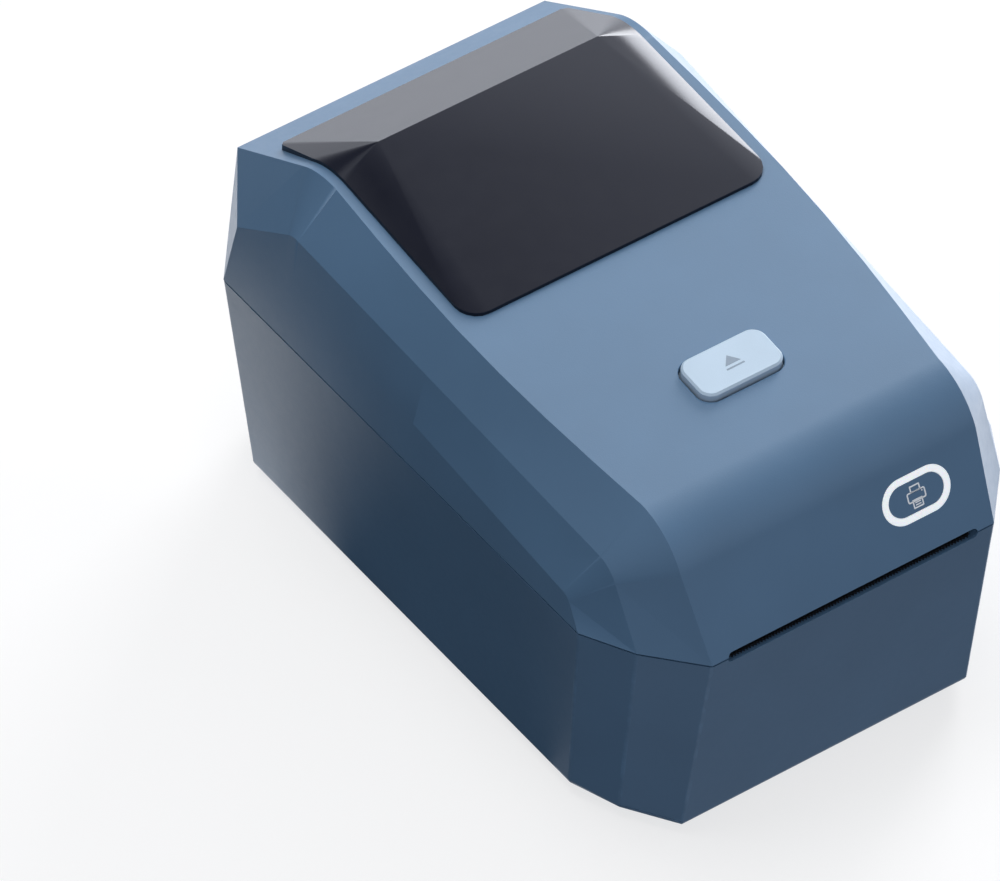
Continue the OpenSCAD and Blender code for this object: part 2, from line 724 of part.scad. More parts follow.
module rubber_feet() {
    for (p = feet) color("#1c1c1e") translate([p[0], at(p[1]), 0]) rotate_extrude()
        polygon([[0, 0], [foot_r - foot_edge, 0], [foot_r, foot_edge], [foot_r, foot_h + foot_sink],
                 [0, foot_h + foot_sink]]);
}

// Screw that points up from its head's seat at z
module screw(p, z, len) {
    post(p, z - screw_head_h, screw_head_r, screw_head_h);
    post(p, z - over, screw_r, len + over);
}
module screw_down(p, z, len) {
    post(p, z, screw_head_r, screw_head_h);
    post(p, z - len, screw_r, len + over);
}
module case_screws() {
    color("#8d9196") for (p = pillars) screw(p, pillar_z - shelf_t, screw_len);
}

// ---- Roll tray ------------------------------------------------------------

module well(r, half, top) {
    rod(-half, 2 * half, well_d, well_z, r, $fn = 120);
    block([-half, well_d - r, well_z], [half, well_d + r, top]);
}

module roll_tray() {
    catch_t = 3.5;
    hook_gap = [1, 1.5, 13.5];     // beside the hook, past the catch and in front of it
    rib_x = 28;
    rib_h = 4;
    slot_x = [-guide_in - guide_t - fit, guide_travel - guide_in + fit];
    color("#23272e") difference() {
        union() {
            intersection() {
                block([-half_w, deck_start, deck_top - tray_t], [half_w, deck_end, deck_top]);
                case_form(wall + fit, floor_top, seam_z + over);
            }
            intersection() {
                well(well_r + tray_t, well_half + tray_t, deck_top);
                block([-half_w, 0, 0], [half_w, body_d, deck_top]);
            }
            for (p = pillars) post(p, pillar_z, pillar_r, deck_top - tray_t - pillar_z + over);
            both_sides() {
                block([hook_x - hook_gap[0], catch_d, catch_z],
                      [hook_x + hook_w + hook_gap[1], catch_d + catch_t, deck_top - over]);
                block([rib_x, deck_start + 1, deck_top - tray_t - rib_h],
                      [rib_x + rib_t, well_d - well_r, deck_top - over]);
            }
        }
        well(well_r, well_half, deck_top + over);
        // Gear train, latch hooks and label sensor
        block([plate_out + fit, 0, deck_top - 2 * tray_t],
              [wheel_end + gear_gap, idler_d + wheel_r + gear_gap, seam_z]);
        both_sides() block([hook_x - hook_gap[0], catch_d - hook_gap[2], catch_z - over],
                           [hook_x + hook_w + hook_gap[0], catch_d, seam_z]);
        block(sensor_at - [sensor[0] + fit, sensor[1] + fit, over],
              sensor_at + [sensor[0] + fit, sensor[1] + fit, 2 * tray_t]);
        block([-fanfold_half, well_end - tray_t - fanfold_h - 2, fanfold_z],
              [fanfold_half, well_d + well_r + 2 * tray_t, fanfold_z + fanfold_h]);
        // Guide slots through the bottom of the well
        for (s = [0, 1]) turned_if(s) block([slot_x[0], well_d - rack_back - fit, rack_z],
                                            [slot_x[1], well_d - rack_back + rack_bar + fit, well_z]);
        for (p = pillars) post(p, pillar_z - over, screw_r + run, screw_len - shelf_t + 2 * over);
    }
}
module turned_if(s) {
    if (s == 0) children(); else turned() children();
}
sensor_at = [-16, deck_start + 16.5, deck_top - tray_t];
sensor = [6, 4];         // half of its width and of its length
module label_sensor() {
    ear = 3;
    ear_t = 1.2;
    body_h = 4;
    color("#18191b") union() {
        block(sensor_at - [sensor[0], sensor[1], body_h], sensor_at + [sensor[0], sensor[1], tray_t - 0.2]);
        block(sensor_at - [sensor[0] + ear, sensor[1], ear_t], sensor_at + [sensor[0] + ear, sensor[1], 0]);
    }
}

// ---- Drive ----------------------------------------------------------------

module side_plate() {
    low = deck_top - tray_t - 1.2;
    edge = 1.2;
    high = platen_z + bushing_r + edge;
    front = platen_d - platen_r;
    polygon([[frame_start, frame_z], [frame_end, frame_z], [frame_end, idler_z], [frame_end - 5, low],
             [deck_start - 1, low], [deck_start - 2.5, high],
             [front, high], [front, motor_z + motor_r - 2 * motor_shaft_r]]);
}
module drive_frame() {
    color("#a9adb2") difference() {
        union() {
            both_sides() across(plate_in, sheet) side_plate();
            block([-plate_out, frame_start, frame_z], [plate_out, frame_end, frame_z + sheet]);
        }
        for (p = frame_bosses) post(p, frame_z - over, screw_r + fit, 4 * sheet);
        both_sides() rod(plate_in - over, sheet + 2 * over, platen_d, platen_z, bushing_r + run);
        rod(plate_in - over, sheet + 2 * over, idler_d, idler_z, idler_r);
        rod(plate_in - over, sheet + 2 * over, motor_d, motor_z, motor_pilot_r + fit / 2);
        for (p = motor_holes) rod(plate_in - over, sheet + 2 * over, p[0], p[1], screw_r + fit);
        rod(-plate_out - over, sheet + 2 * over, motor_d, motor_z, 2 * motor_pilot_r);
    }
}
module frame_screws() {
    color("#8d9196") for (p = frame_bosses) screw_down(p, frame_z + sheet, short_screw);
}
module platen_bushings() {
    flange_t = 1;
    flange_w = 1.5;
    proud = 0.5;
    color("#e8e6df") both_sides() difference() {
        union() {
            rod(plate_in - flange_t, flange_t, platen_d, platen_z, bushing_r + flange_w);
            rod(plate_in, sheet + proud, platen_d, platen_z, bushing_r);
        }
        rod(plate_in - 2 * over, sheet + 4 * over, platen_d, platen_z, shaft_r + run);
    }
}
flat = 0.6;              // depth of the flat that drives the platen's gear
module platen_shaft() {
    left_end = 4;
    color("#c3c6ca") difference() {
        rod(-plate_out - left_end, left_end + plate_out + gear_x + gear_w, platen_d, platen_z, shaft_r);
        block([gear_x, platen_d - shaft_r, platen_z + shaft_r - flat],
              [gear_x + gear_w + over, platen_d + shaft_r, platen_z + shaft_r + over]);
    }
}
module platen_rubber() {
    color("#26272a") difference() {
        rod(-platen_half, 2 * platen_half, platen_d, platen_z, platen_r);
        rod(-platen_half - over, 2 * (platen_half + over), platen_d, platen_z, shaft_r);
    }
}
module platen_gear() {
    color("#e9e7e1") difference() {
        gear_at(platen_d, platen_z, gear_x, gear_w, gear_m, platen_teeth, first_angle);
        difference() {
            rod(gear_x - over, gear_w + 2 * over, platen_d, platen_z, shaft_r);
            block([gear_x - 2 * over, platen_d - shaft_r, platen_z + shaft_r - flat],
                  [gear_x + gear_w + 2 * over, platen_d + shaft_r, platen_z + shaft_r + over]);
        }
    }
}
module idler_stud() {
    clip = 0.8;
    play = 0.2;
    shoulder = 1.2;
    color("#c3c6ca") union() {
        rod(plate_in, wheel_end + play + clip - plate_in, idler_d, idler_z, idler_r);
        rod(plate_out, gear_gap - play, idler_d, idler_z, idler_r + shoulder);
        rod(wheel_end + play, clip, idler_d, idler_z, idler_r + shoulder);
    }
}
module idler_gear() {
    hub = gear_m * idler_small_teeth / 2 - dedendum * gear_m;
    holes = 5;
    hole_r = 2.2;
    hole_at = (hub + wheel_r - 2 * gear_m) / 2 + 0.6;
    color("#e9e7e1") difference() {
        union() {
            gear_at(idler_d, idler_z, gear_x, gear_w, gear_m, idler_small_teeth,
                    first_angle + 180 + 180 / idler_small_teeth);
            rod(gear_x, wheel_x - gear_x + over, idler_d, idler_z, hub);
            gear_at(idler_d, idler_z, wheel_x, wheel_w, gear_m, idler_large_teeth, second_angle);
        }
        rod(gear_x - over, 4 * gear_w, idler_d, idler_z, idler_r + run);
        for (k = [1 : holes]) let (a = 360 * k / holes)
            rod(wheel_x - over / 2, wheel_w + over, idler_d + hole_at * cos(a),
                idler_z + hole_at * sin(a), hole_r);
    }
}
module stepper_motor() {
    ear_t = 1.2;
    plug = [10, 10, 3];      // of the lead's socket under the can
    start = plate_in - motor_len;
    color("#9da1a6") difference() {
        union() {
            rod(start, motor_len, motor_d, motor_z, motor_r);
            rod(plate_in - over, over + sheet + 0.4, motor_d, motor_z, motor_pilot_r);
            across(plate_in - ear_t, ear_t) translate([motor_d, motor_z])
                rotate(motor_ear_angle) stadium(2 * motor_ear, motor_ear_r);
            block([start + 2, motor_d - plug[1] / 2, motor_z - motor_r - plug[2]],
                  [start + 2 + plug[0], motor_d + plug[1] / 2, motor_z]);
        }
        rod(plate_in - shaft_in - fit, motor_len, motor_d, motor_z, motor_shaft_r + run);
        for (p = motor_holes) rod(plate_in - 2 * ear_t - over, motor_len, p[0], p[1], screw_r + run);
    }
}
shaft_in = 7.5;          // of the motor's shaft into the can
module motor_shaft() {
    past = 1.4;
    color("#c3c6ca") rod(plate_in - shaft_in, shaft_in + wheel_end + past - plate_in,
                         motor_d, motor_z, motor_shaft_r);
}
module motor_screws() {
    grip = 2.5;
    color("#8d9196") for (p = motor_holes) union() {
        rod(plate_out, low_head_h, p[0], p[1], screw_head_r);
        rod(plate_in - grip, sheet + grip + over, p[0], p[1], screw_r);
    }
}
module motor_pinion() {
    color("#b98f3e") difference() {
        union() {
            gear_at(motor_d, motor_z, wheel_x - fit, wheel_w + 2 * fit, gear_m, motor_teeth,
                    second_angle + 180 + 180 / motor_teeth);
            rod(gear_x + 0.6, wheel_x - gear_x, motor_d, motor_z,
                gear_m * (motor_teeth / 2 - dedendum) - 0.2);
        }
        rod(gear_x, 4 * gear_w, motor_d, motor_z, motor_shaft_r);
    }
}

// ---- Circuit board and connectors ----------------------------------------

module circuit_board() {
    start = board_end - board_l;
    // Capacitors, then the chips and pin headers as [x, from the rear, width, length, height]
    capacitor = [4, 11, 24];
    parts = [[jack_x + 4, 24, 12, 12, 2.2], [-8, 38, 10, 10, 1.6], [switch_x + 2, 32, 16, 10, 4],
             [10, 38, 18, 5, 6], [jack_x + 6, 39, 14, 5, 6]];
    color("#1f6b4a") difference() {
        union() {
            block([-board_half, start, board_z], [board_half, board_end, board_top]);
            for (x = [-capacitor[0], 3 * capacitor[0]])
                post([x, board_end - capacitor[2]], board_top - over, capacitor[0], capacitor[1] + over);
            for (p = parts)
                block([p[0] - p[2] / 2, board_end - p[1] - p[3] / 2, board_top - over],
                      [p[0] + p[2] / 2, board_end - p[1] + p[3] / 2, board_top + p[4]]);
        }
        for (p = standoffs) post(p, board_z - over, screw_r + fit, board_t + 2 * over);
    }
}
module board_screws() {
    grip = 3;
    color("#8d9196") for (p = standoffs) screw_down(p, board_top, board_t + grip);
}
port_sink = 0.2;         // of the ports behind the panel
port_depth = 9;          // of the ports' sockets
module usb_port() {
    socket = [4.2, 1.6, 9.4];    // half its width, its lower and its upper edge
    tongue = [2.8, 4, 7];
    color("#b9bcc0") difference() {
        block([usb_x - usb_size[0] / 2, connector_d - usb_size[1], board_top],
              [usb_x + usb_size[0] / 2, connector_d - port_sink, board_top + usb_size[2]]);
        difference() {
            block([usb_x - socket[0], connector_d - port_depth, board_top + socket[1]],
                  [usb_x + socket[0], connector_d + over, board_top + socket[2]]);
            block([usb_x - tongue[0], connector_d - port_depth - over, board_top + tongue[1]],
                  [usb_x + tongue[0], connector_d - 1, board_top + tongue[2]]);
        }
    }
}
module dc_jack() {
    z = board_top + 6.2;
    socket_r = 3.1;
    centre_pin_r = 1;
    pin_sink = 1.5;
    color("#141416") difference() {
        block([jack_x - jack_size[0] / 2, connector_d - jack_size[1], board_top],
              [jack_x + jack_size[0] / 2, connector_d - port_sink, board_top + jack_size[2]]);
        translate([jack_x, at(connector_d) + over, z]) rotate([90, 0, 0]) difference() {
            cylinder(r = socket_r, h = port_depth + over);
            translate([0, 0, pin_sink]) cylinder(r = centre_pin_r, h = port_depth + over);
        }
    }
}
module switch_body() {
    half = switch_size / 2;
    well_gap = 0.9;
    well_depth = 8;
    well_half_h = 5;
    color("#141416") difference() {
        union() {
            block([switch_x - half[0], connector_d - switch_size[1], switch_z - half[2]],
                  [switch_x + half[0], connector_d + bezel_t, switch_z + half[2]]);
            block([switch_x - half[0] - bezel_w, connector_d, switch_z - half[2] - bezel_w],
                  [switch_x + half[0] + bezel_w, connector_d + bezel_t, switch_z + half[2] + bezel_w]);
        }
        difference() {
            block([switch_x - rocker_half - well_gap, connector_d - well_depth, switch_z - well_half_h],
                  [switch_x + rocker_half + well_gap, connector_d + 2 * bezel_t, switch_z + well_half_h]);
            post([switch_x, rocker_d], switch_z - half[2], rocker_pin_r, switch_size[2]);
        }
    }
}
module power_rocker() {
    h = 9.2;
    low = 2;
    belly = 3.4;
    color("#0e0e10") translate([switch_x, at(rocker_d), switch_z - h / 2])
        rotate([0, 0, -rocker_angle]) difference() {
            linear_extrude(h) polygon([[-rocker_half, -low], [0, -belly], [rocker_half, -low],
                                       [rocker_half, belly], [0, low + 0.2], [-rocker_half, belly]]);
            translate([0, 0, -over]) cylinder(r = rocker_pin_r + run, h = h + 2 * over);
        }
}

// ---- Roll guides ----------------------------------------------------------

// Rack along X for a pinion at the origin, with a gap over the pinion's middle
module rack() {
    pitch = PI * rack_m;
    face = -pinion_r;
    tip = face + addendum * rack_m;
    root = face - dedendum * rack_m;
    half_tip = pitch / 4 - backlash - addendum * rack_m * tan(pressure);
    half_root = pitch / 4 - backlash + dedendum * rack_m * tan(pressure);
    first = ceil((-guide_in + 1) / pitch + 0.5);
    last = floor(rack_reach / pitch - 0.5);
    polygon(concat([[-guide_in - guide_t, -rack_back]], [[-guide_in - guide_t, root]],
        [for (k = [first : last]) let (x = (k + 0.5) * pitch)
            each [[x - half_root, root], [x - half_tip, tip], [x + half_tip, tip],
                  [x + half_root, root]]],
        [[rack_reach + pitch / 2, root], [rack_reach + pitch / 2, -rack_back]]));
}
module guide() {
    out = -guide_in - guide_t;
    difference() {
        union() {
            intersection() {
                rod(out, guide_t, well_d, well_z, guide_r, $fn = 120);
                across(out, guide_t) translate([well_d, well_z])
                    polygon([[-34, -guide_r], [34, -guide_r], [15.5, 4], [-15.5, 4]]);
            }
            rod(out, guide_t, well_d, well_z, 16);
            rod(out - 3, 3 + over, well_d, well_z, 7);
            block([out - 3, well_d - 1, well_z - guide_r + 3], [out + over, well_d + 1, well_z]);
            rod(-guide_in - over, hub_len - hub_end + over, well_d, well_z, axle_r);
            block([out, well_d - rack_back, rack_z],
                  [-guide_in, well_d - rack_back + 4, well_z - guide_r + 4]);
            translate([0, at(well_d), rack_z]) linear_extrude(rack_t) rack();
        }
        for (s = [-1, 1]) rod(out - over, guide_t + 2 * over, well_d + s * 12, well_z - 32, 6);
    }
}
module guide_left() { color("#3a4450") guide(); }
module guide_right() { color("#3a4450") turned() guide(); }
module hub() {
    color("#3a4450") translate([-guide_in + fit, at(well_d), well_z]) rotate([0, 90, 0])
        rotate_extrude() polygon([[axle_r + run, 0], [hub_r, 0], [hub_r, 2],
                                  [hub_r - 0.5, hub_len - 2], [hub_r - 2.5, hub_len],
                                  [0, hub_len], [0, hub_len - hub_end + fit],
                                  [axle_r + run, hub_len - hub_end + fit]]);
}
module hub_left() { hub(); }
module hub_right() { turned() hub(); }
module guide_pinion() {
    color("#e9e7e1") translate([0, at(well_d), rack_z]) difference() {
        linear_extrude(rack_t) rotate(-90) gear(rack_m, rack_pinion_teeth);
        translate([0, 0, -over]) cylinder(r = pinion_bore + run, h = rack_t + 2 * over);
    }
}

// ---- Lid ------------------------------------------------------------------

open_gap = 0.6;
open_corner = 4.2;
feed_x = half_w - feed_side;
post_x = 14.6;
board_back = 8;
crest_back = 5.2;        // of the panel's crest in front of the ridge
crest_d = ridge_d - crest_back;
peg_r = 2;
peg_gap = 0.15;
peg_in = [15.8, 12.5, 13.4];   // of the panel's pegs from its sides, its front and its crest
peg_x = panel_w / 2 - peg_in[0];
pegs = [for (x = [-peg_x, peg_x],
             d = [panel_front_d + peg_in[1], crest_d - peg_in[2]]) [x, d]];

module hinge_pins() {
    color("#c3c6ca") both_sides()
        rod(ear_x + ear_w - pin_len, pin_len, hinge_d, seam_z, pin_r);
}

module top_cover() {
    low = seam_gap / 2;
    barrel = ear_x - hinge_gap;
    color("#5c7691") difference() {
        union() {
            difference() {
                lid_form(0, low);
                lid_form(wall, -over);
            }
            intersection() {
                lid_form(wall / 2, -hinge_r);
                union() {
                    for (p = liner_bosses) post(p, liner_z, boss_r, body_d);
                    for (s = [-1, 1]) on_front(feed_x + s * post_x, feed_up + 1.5)
                        translate([0, 0, -board_back]) cylinder(r = 1.8, h = board_back);
                }
            }
            rod(-barrel, 2 * barrel, hinge_d, seam_z, hinge_r);
        }
        slot_cut();
        both_sides() {
            rod(barrel, ear_w + 2 * hinge_gap, hinge_d, seam_z, hinge_r + hinge_gap);
            rod(ear_x + ear_w - pin_len - 1, pin_len, hinge_d, seam_z, pin_r + run);
        }
        for (p = liner_bosses) post(p, liner_z - over, screw_r + run, 12);
        for (p = pegs) on_slope(p[1]) translate([p[0], 0, -3 * wall])
            cylinder(r = peg_r + peg_gap, h = 4 * wall);
        on_slope(open_d) translate([0, 0, -2 * wall]) linear_extrude(4 * wall)
            rounded(open_w + 2 * open_gap, open_l + 2 * open_gap, open_corner + open_gap);
        on_front(feed_x, feed_up) translate([0, 0, -2 * wall]) linear_extrude(4 * wall)
            stadium(ring_straight, ring_r + run);
    }
}

module lid_liner() {
    opening = cheek_x;
    color("#20242b") difference() {
        intersection() {
            lid_form(wall + fit, -over);
            union() {
                difference() {
                    block([-liner_half, 4, liner_z - liner_t], [liner_half, liner_end, liner_z]);
                    block([-opening, head_start - 2, liner_z - 2 * liner_t],
                          [opening, pivot_d + 3.5, liner_z + over]);
                }
                block([-liner_half, liner_end - 2, liner_z - over], [liner_half, liner_end, liner_z + 6]);
                both_sides() {
                    across(cheek_x, cheek_t) polygon([[spring_d - 5.5, liner_z - liner_t],
                        [pivot_d + 7, liner_z - liner_t], [pivot_d + 3, pivot_z + 3.5],
                        [spring_d + 6, beam_z + 2], [spring_d - 5.5, beam_z + 2]]);
                    across(latch_wall, cheek_t) polygon([[latch_d - 20, liner_z - over],
                        [latch_d + 11, liner_z - over], [latch_d + 4, latch_z + 4],
                        [latch_d - 4, latch_z + 4]]);
                }
                block([-cheek_x - over, spring_d - 4.5, beam_z], [cheek_x + over, spring_d + 4.5, beam_z + 2]);
            }
        }
        for (p = liner_bosses) post(p, liner_z - 2 * liner_t, screw_r + fit, 3 * liner_t);
        rod(-latch_wall - cheek_t - over, 2 * (latch_wall + cheek_t + over), latch_d, latch_z, latch_r + run);
        rod(-cheek_x - cheek_t - over, 2 * (cheek_x + cheek_t + over), pivot_d, pivot_z, pin_r);
    }
}
module liner_screws() {
    color("#8d9196") for (p = liner_bosses) union() {
        post(p, liner_z - liner_t - 1.6, 2.4, 1.6);
        post(p, liner_z - liner_t - over, screw_r, 10);
    }
}

// Outline of the gloss panel on its right, from the front to the rear, each point
// with the height of its rim
panel_corner_r = 7;
panel_rear_d = body_d - panel_rear_margin;
rear_slope = tan(rear_angle);
function rim_at(d) = let (k = arc(brow, ridge, rear_top, ridge_r, 0))
    d <= k[0][0] ? slope_at(d) + panel_rim : rear_rise + (body_d - d) * rear_slope + panel_rim;
panel_front = [for (a = [90 : -18 : 0]) [panel_w / 2 - panel_corner_r + panel_corner_r * cos(a),
                                         panel_front_d + panel_corner_r * (1 - sin(a))]];
panel_ridge = [for (p = arc(brow, ridge, rear_top, ridge_r, 0)) [panel_w / 2 - 0.8, p[0], p[1] + panel_rim]];
panel_edge = concat([for (p = panel_front) [p[0], p[1], rim_at(p[1])]], panel_ridge,
    [[panel_rear_w / 2, panel_rear_d - 1.5, rim_at(panel_rear_d - 1.5) + 0.8],
     [panel_rear_w / 2 - 1.5, panel_rear_d, rim_at(panel_rear_d) + 0.8]]);
module gloss_panel() {
    skirt = 9;
    color("#23252e") union() {
        difference() {
            hull() {
                both_sides() for (p = panel_edge)
                    translate([p[0] - eps, at(p[1]), seam_z + p[2] - skirt]) cube([eps, eps, skirt]);
                both_sides() translate([panel_crest_w / 2, at(crest_d),
                                        seam_z + slope_at(crest_d)]) cube([eps, eps, panel_crest]);
            }
            lid_form(0, 0);
        }
        for (p = pegs) on_slope(p[1]) translate([p[0], 0, -wall - 1]) cylinder(r = peg_r, h = wall + 1 + 1.5);
    }
}

module tear_bar() {
    t = 0.6;
    z = seam_z + 0.6;
    back = 8.4;
    foot = 11.5;
    tip = 1.3;
    count = floor(2 * platen_half / tear_pitch) - 1;
    start = -count * tear_pitch / 2;
    color("#b4b8bd") union() {
        translate([0, at(0), z]) linear_extrude(t) polygon(concat(
            [[platen_half, tip + 0.8], [platen_half, back + t], [-platen_half, back + t],
             [-platen_half, tip + 0.8]],
            [for (k = [0 : count - 1]) each [[start + k * tear_pitch, tip + 0.8],
                                             [start + (k + 0.5) * tear_pitch, tip]]]));
        block([-platen_half, back, z], [platen_half, back + t, liner_z - liner_t]);
        block([-platen_half, back, liner_z - liner_t - t], [platen_half, foot, liner_z - liner_t]);
    }
}

// ---- Buttons --------------------------------------------------------------

ring_flange = 1;
ring_flange_t = 0.8;
ring_depth = wall + fit + ring_flange_t;
cap_flange_z = ring_depth + fit;
module light_ring() {
    color("#eef1f3") on_front(feed_x, feed_up) difference() {
        union() {
            translate([0, 0, -ring_depth]) linear_extrude(ring_depth) stadium(ring_straight, ring_r);
            translate([0, 0, -ring_depth]) linear_extrude(ring_flange_t)
                stadium(ring_straight, ring_r + ring_flange);
        }
        translate([0, 0, -ring_depth - over]) linear_extrude(ring_depth + 2 * over)
            stadium(ring_straight, ring_r - ring_w);
    }
}
module feed_button() {
    color("#6d88a3") on_front(feed_x, feed_up) {
        r = ring_r - ring_w - 0.15;
        translate([0, 0, -cap_flange_z - 0.8]) linear_extrude(cap_flange_z + 0.8) stadium(ring_straight, r);
        translate([0, 0, -cap_flange_z - 0.8]) linear_extrude(0.8) stadium(ring_straight, r + 1);
        translate([0, 0, -board_back + 1.4]) cylinder(r = 1.5, h = board_back - 1.4 - cap_flange_z);
    }
}
module button_board() {
    half = post_x + 2;
    color("#1f6b4a") on_front(feed_x, feed_up) {
        translate([-half, -6, -board_back - 1.2]) cube([2 * half, 15, 1.2]);
        translate([0, 0, -board_back - over / 2]) cylinder(r = 2, h = 0.5 + over / 2);
        for (x = [-6, 6]) translate([x - 1, 4, -board_back - over / 2]) cube([2, 1.2, 0.6 + over / 2]);
    }
}
module open_button() {
    flange = 1.2;
    under = wall + fit;
    edge = 0.6;
    drop = (seam_z + slope_at(open_d) - latch_z - lever_t - fit - tip_r) / cos(slope_angle);
    shift = -drop * sin(slope_angle);
    color("#b7cbdd") on_slope(open_d) union() {
        translate([0, 0, -under - flange]) linear_extrude(under + flange + open_proud - edge)
            rounded(open_w, open_l, open_corner);
        hull() {
            translate([0, 0, open_proud - edge - eps]) linear_extrude(eps) rounded(open_w, open_l, open_corner);
            translate([0, 0, open_proud - eps]) linear_extrude(eps)
                rounded(open_w - 2 * edge, open_l - 2 * edge, open_corner - edge);
        }
        translate([0, 0, -under - flange]) linear_extrude(flange)
            rounded(open_w + 3.2, open_l + 3.2, open_corner + 1.6);
        translate([-3, shift - tip_r, -drop]) cube([6, 2 * tip_r, drop - under]);
        translate([-3, shift, -drop]) rotate([0, 90, 0]) cylinder(r = tip_r, h = 6);
    }
}

module latch_bar() {
    end = hook_x + hook_w + 0.5;
    nose = catch_d - fit;
    top = catch_z - fit;
    color("#c9cdd1") union() {
        rod(-end, 2 * end, latch_d, latch_z, latch_r);
        block([-6, latch_d, latch_z - 0.5], [6, open_d + 2.2, latch_z + lever_t]);
        both_sides() across(hook_x, hook_w) polygon([[latch_d - 2, latch_z], [latch_d + 2, latch_z],
            [nose - 1.4, deck_top], [nose - 1.4, top], [nose, top - 0.4], [nose - 2.4, top - 3],
            [nose - 4.2, top - 3], [nose - 4.2, deck_top]]);
    }
}

// Torsion spring around the latch's shaft, one end on the liner's floor
module latch_spring() {
    turns = 4;
    steps = 16;
    coil = 2.9;
    r = 0.4;
    x0 = 10;
    coils = [for (k = [0 : turns * steps]) let (a = 360 * k / steps)
        [x0 + k * 1.1 / steps, at(latch_d) - coil * cos(a), latch_z - coil * sin(a)]];
    leg = [x0, at(latch_d) - coil, liner_z + r];
    hook = [x0 + turns * 1.1, at(latch_d) - coil, latch_z + 4];
    color("#9fa3a8") wire(concat([leg], coils, [hook]), r, [1, 0, 0]);
}

// ---- Print head -----------------------------------------------------------

module print_head() {
    color("#e3ded2") union() {
        block([-platen_half, head_start, head_z], [platen_half, head_end, head_z + head_t]);
        block([-platen_half + 6, platen_d + 4, head_z - 0.1], [platen_half - 6, platen_d + 8, head_z + head_t]);
    }
}
module heat_sink() {
    low = head_z + head_t;
    lug = 3;
    color("#aeb3b8") difference() {
        union() {
            block([-platen_half, head_start, low], [platen_half, pivot_d - 2, sink_top]);
            for (k = [0 : 2]) block([-platen_half + lug + 1, head_end - 1 + 2.4 * k, low],
                                    [platen_half - lug - 1, head_end + 2.4 * k, sink_top + 4.5]);
            both_sides() across(platen_half - lug, lug) {
                polygon([[head_end - 2, low], [pivot_d + 1, low], [pivot_d + 3, pivot_z],
                         [pivot_d - 3, pivot_z]]);
                translate([pivot_d, pivot_z]) circle(3);
            }
            for (x = [-1, 1]) post([x * spring_x, spring_d], sink_top - over, 2, over + 2);
        }
        rod(-platen_half - over, 2 * (platen_half + over), pivot_d, pivot_z, pin_r + run);
    }
}
module head_pivot_pin() {
    color("#c3c6ca") rod(-cheek_x - cheek_t, 2 * (cheek_x + cheek_t), pivot_d, pivot_z, pin_r);
}
module head_springs() {
    turns = 5;
    steps = 14;
    coil = 3.2;
    r = 0.5;
    low = sink_top + r + 0.1;
    high = beam_z - r - 0.1;
    color("#9fa3a8") for (s = [-1, 1])
        wire([for (k = [0 : turns * steps]) let (a = 360 * k / steps)
            [s * spring_x + coil * cos(a), at(spring_d) + coil * sin(a),
             low + (high - low) * k / (turns * steps)]], r, [0, 0, 1]);
}

lower_case();
roll_tray();
rubber_feet();
case_screws();
drive_frame();
frame_screws();
platen_bushings();
platen_shaft();
platen_rubber();
platen_gear();
idler_stud();
idler_gear();
stepper_motor();
motor_shaft();
motor_screws();
motor_pinion();
circuit_board();
board_screws();
dc_jack();
usb_port();
switch_body();
power_rocker();
label_sensor();
guide_left();
guide_right();
guide_pinion();
hub_left();
hub_right();
hinge_pins();
top_cover();
lid_liner();
liner_screws();
gloss_panel();
tear_bar();
light_ring();
feed_button();
button_board();
open_button();
latch_bar();
latch_spring();
print_head();
heat_sink();
head_pivot_pin();
head_springs();
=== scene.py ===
"""Finishes and small pieces for a desktop label printer, laid out as an add-on."""

import math

import bmesh
import bpy
from bpy.props import FloatProperty, FloatVectorProperty, PointerProperty
from mathutils import Matrix, Vector


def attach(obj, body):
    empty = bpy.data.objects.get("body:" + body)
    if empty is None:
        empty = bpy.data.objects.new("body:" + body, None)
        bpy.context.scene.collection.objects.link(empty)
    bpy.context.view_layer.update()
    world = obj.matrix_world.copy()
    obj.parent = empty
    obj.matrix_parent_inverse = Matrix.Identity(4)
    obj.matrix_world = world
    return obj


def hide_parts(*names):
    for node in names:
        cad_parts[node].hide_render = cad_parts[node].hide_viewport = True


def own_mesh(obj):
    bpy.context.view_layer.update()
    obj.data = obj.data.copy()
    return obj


bl_info = {
    "name": "Label printer",
    "version": (1, 0, 0),
    "blender": (4, 5, 0),
    "location": "View3D > Sidebar > Label printer",
    "description": "Finishes, marks and studio for a desktop label printer",
    "category": "Object",
}

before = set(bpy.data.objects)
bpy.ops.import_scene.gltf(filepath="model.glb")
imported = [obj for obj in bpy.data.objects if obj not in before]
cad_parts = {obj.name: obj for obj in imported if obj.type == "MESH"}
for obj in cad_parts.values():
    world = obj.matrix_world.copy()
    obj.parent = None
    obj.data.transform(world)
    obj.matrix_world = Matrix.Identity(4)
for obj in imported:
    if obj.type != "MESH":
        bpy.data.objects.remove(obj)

MM = 0.001

# Lengths are in metres and angles in radians, unless a comment says otherwise.

# The printer's own planes, measured from the middle of its foot, with the front at -Y
SEAM_Z = 75.2 * MM  # where the lid meets the base
FRONT_Y = -110.5 * MM  # front face of the base
FRONT_ANGLE = math.radians(64.8578)  # lean of the lid's front face
SLOPE_ANGLE = math.radians(5.28747)  # rise of the lid's long slope
SLOPE_DEPTH = 17.6 * MM  # a point of the slope, back from the front
SLOPE_RISE = 37.5 * MM  # and its height over the seam
SLOPE_NEAR = 0.25 * MM  # a point this close to the slope counts as on it

# Where the marks and the toothed strip sit
FEED_SIDE = 26.7 * MM  # middle of the feed button, to the right
FEED_UP = 18.6 * MM  # and up the lid's front face from the seam
OPEN_DEPTH = 58.0 * MM  # middle of the open button, back from the front
OPEN_PROUD = 2.2 * MM  # its top, over the slope
COMB_DROP = 2.0 * MM  # lip that the toothed strip lies on, below the seam

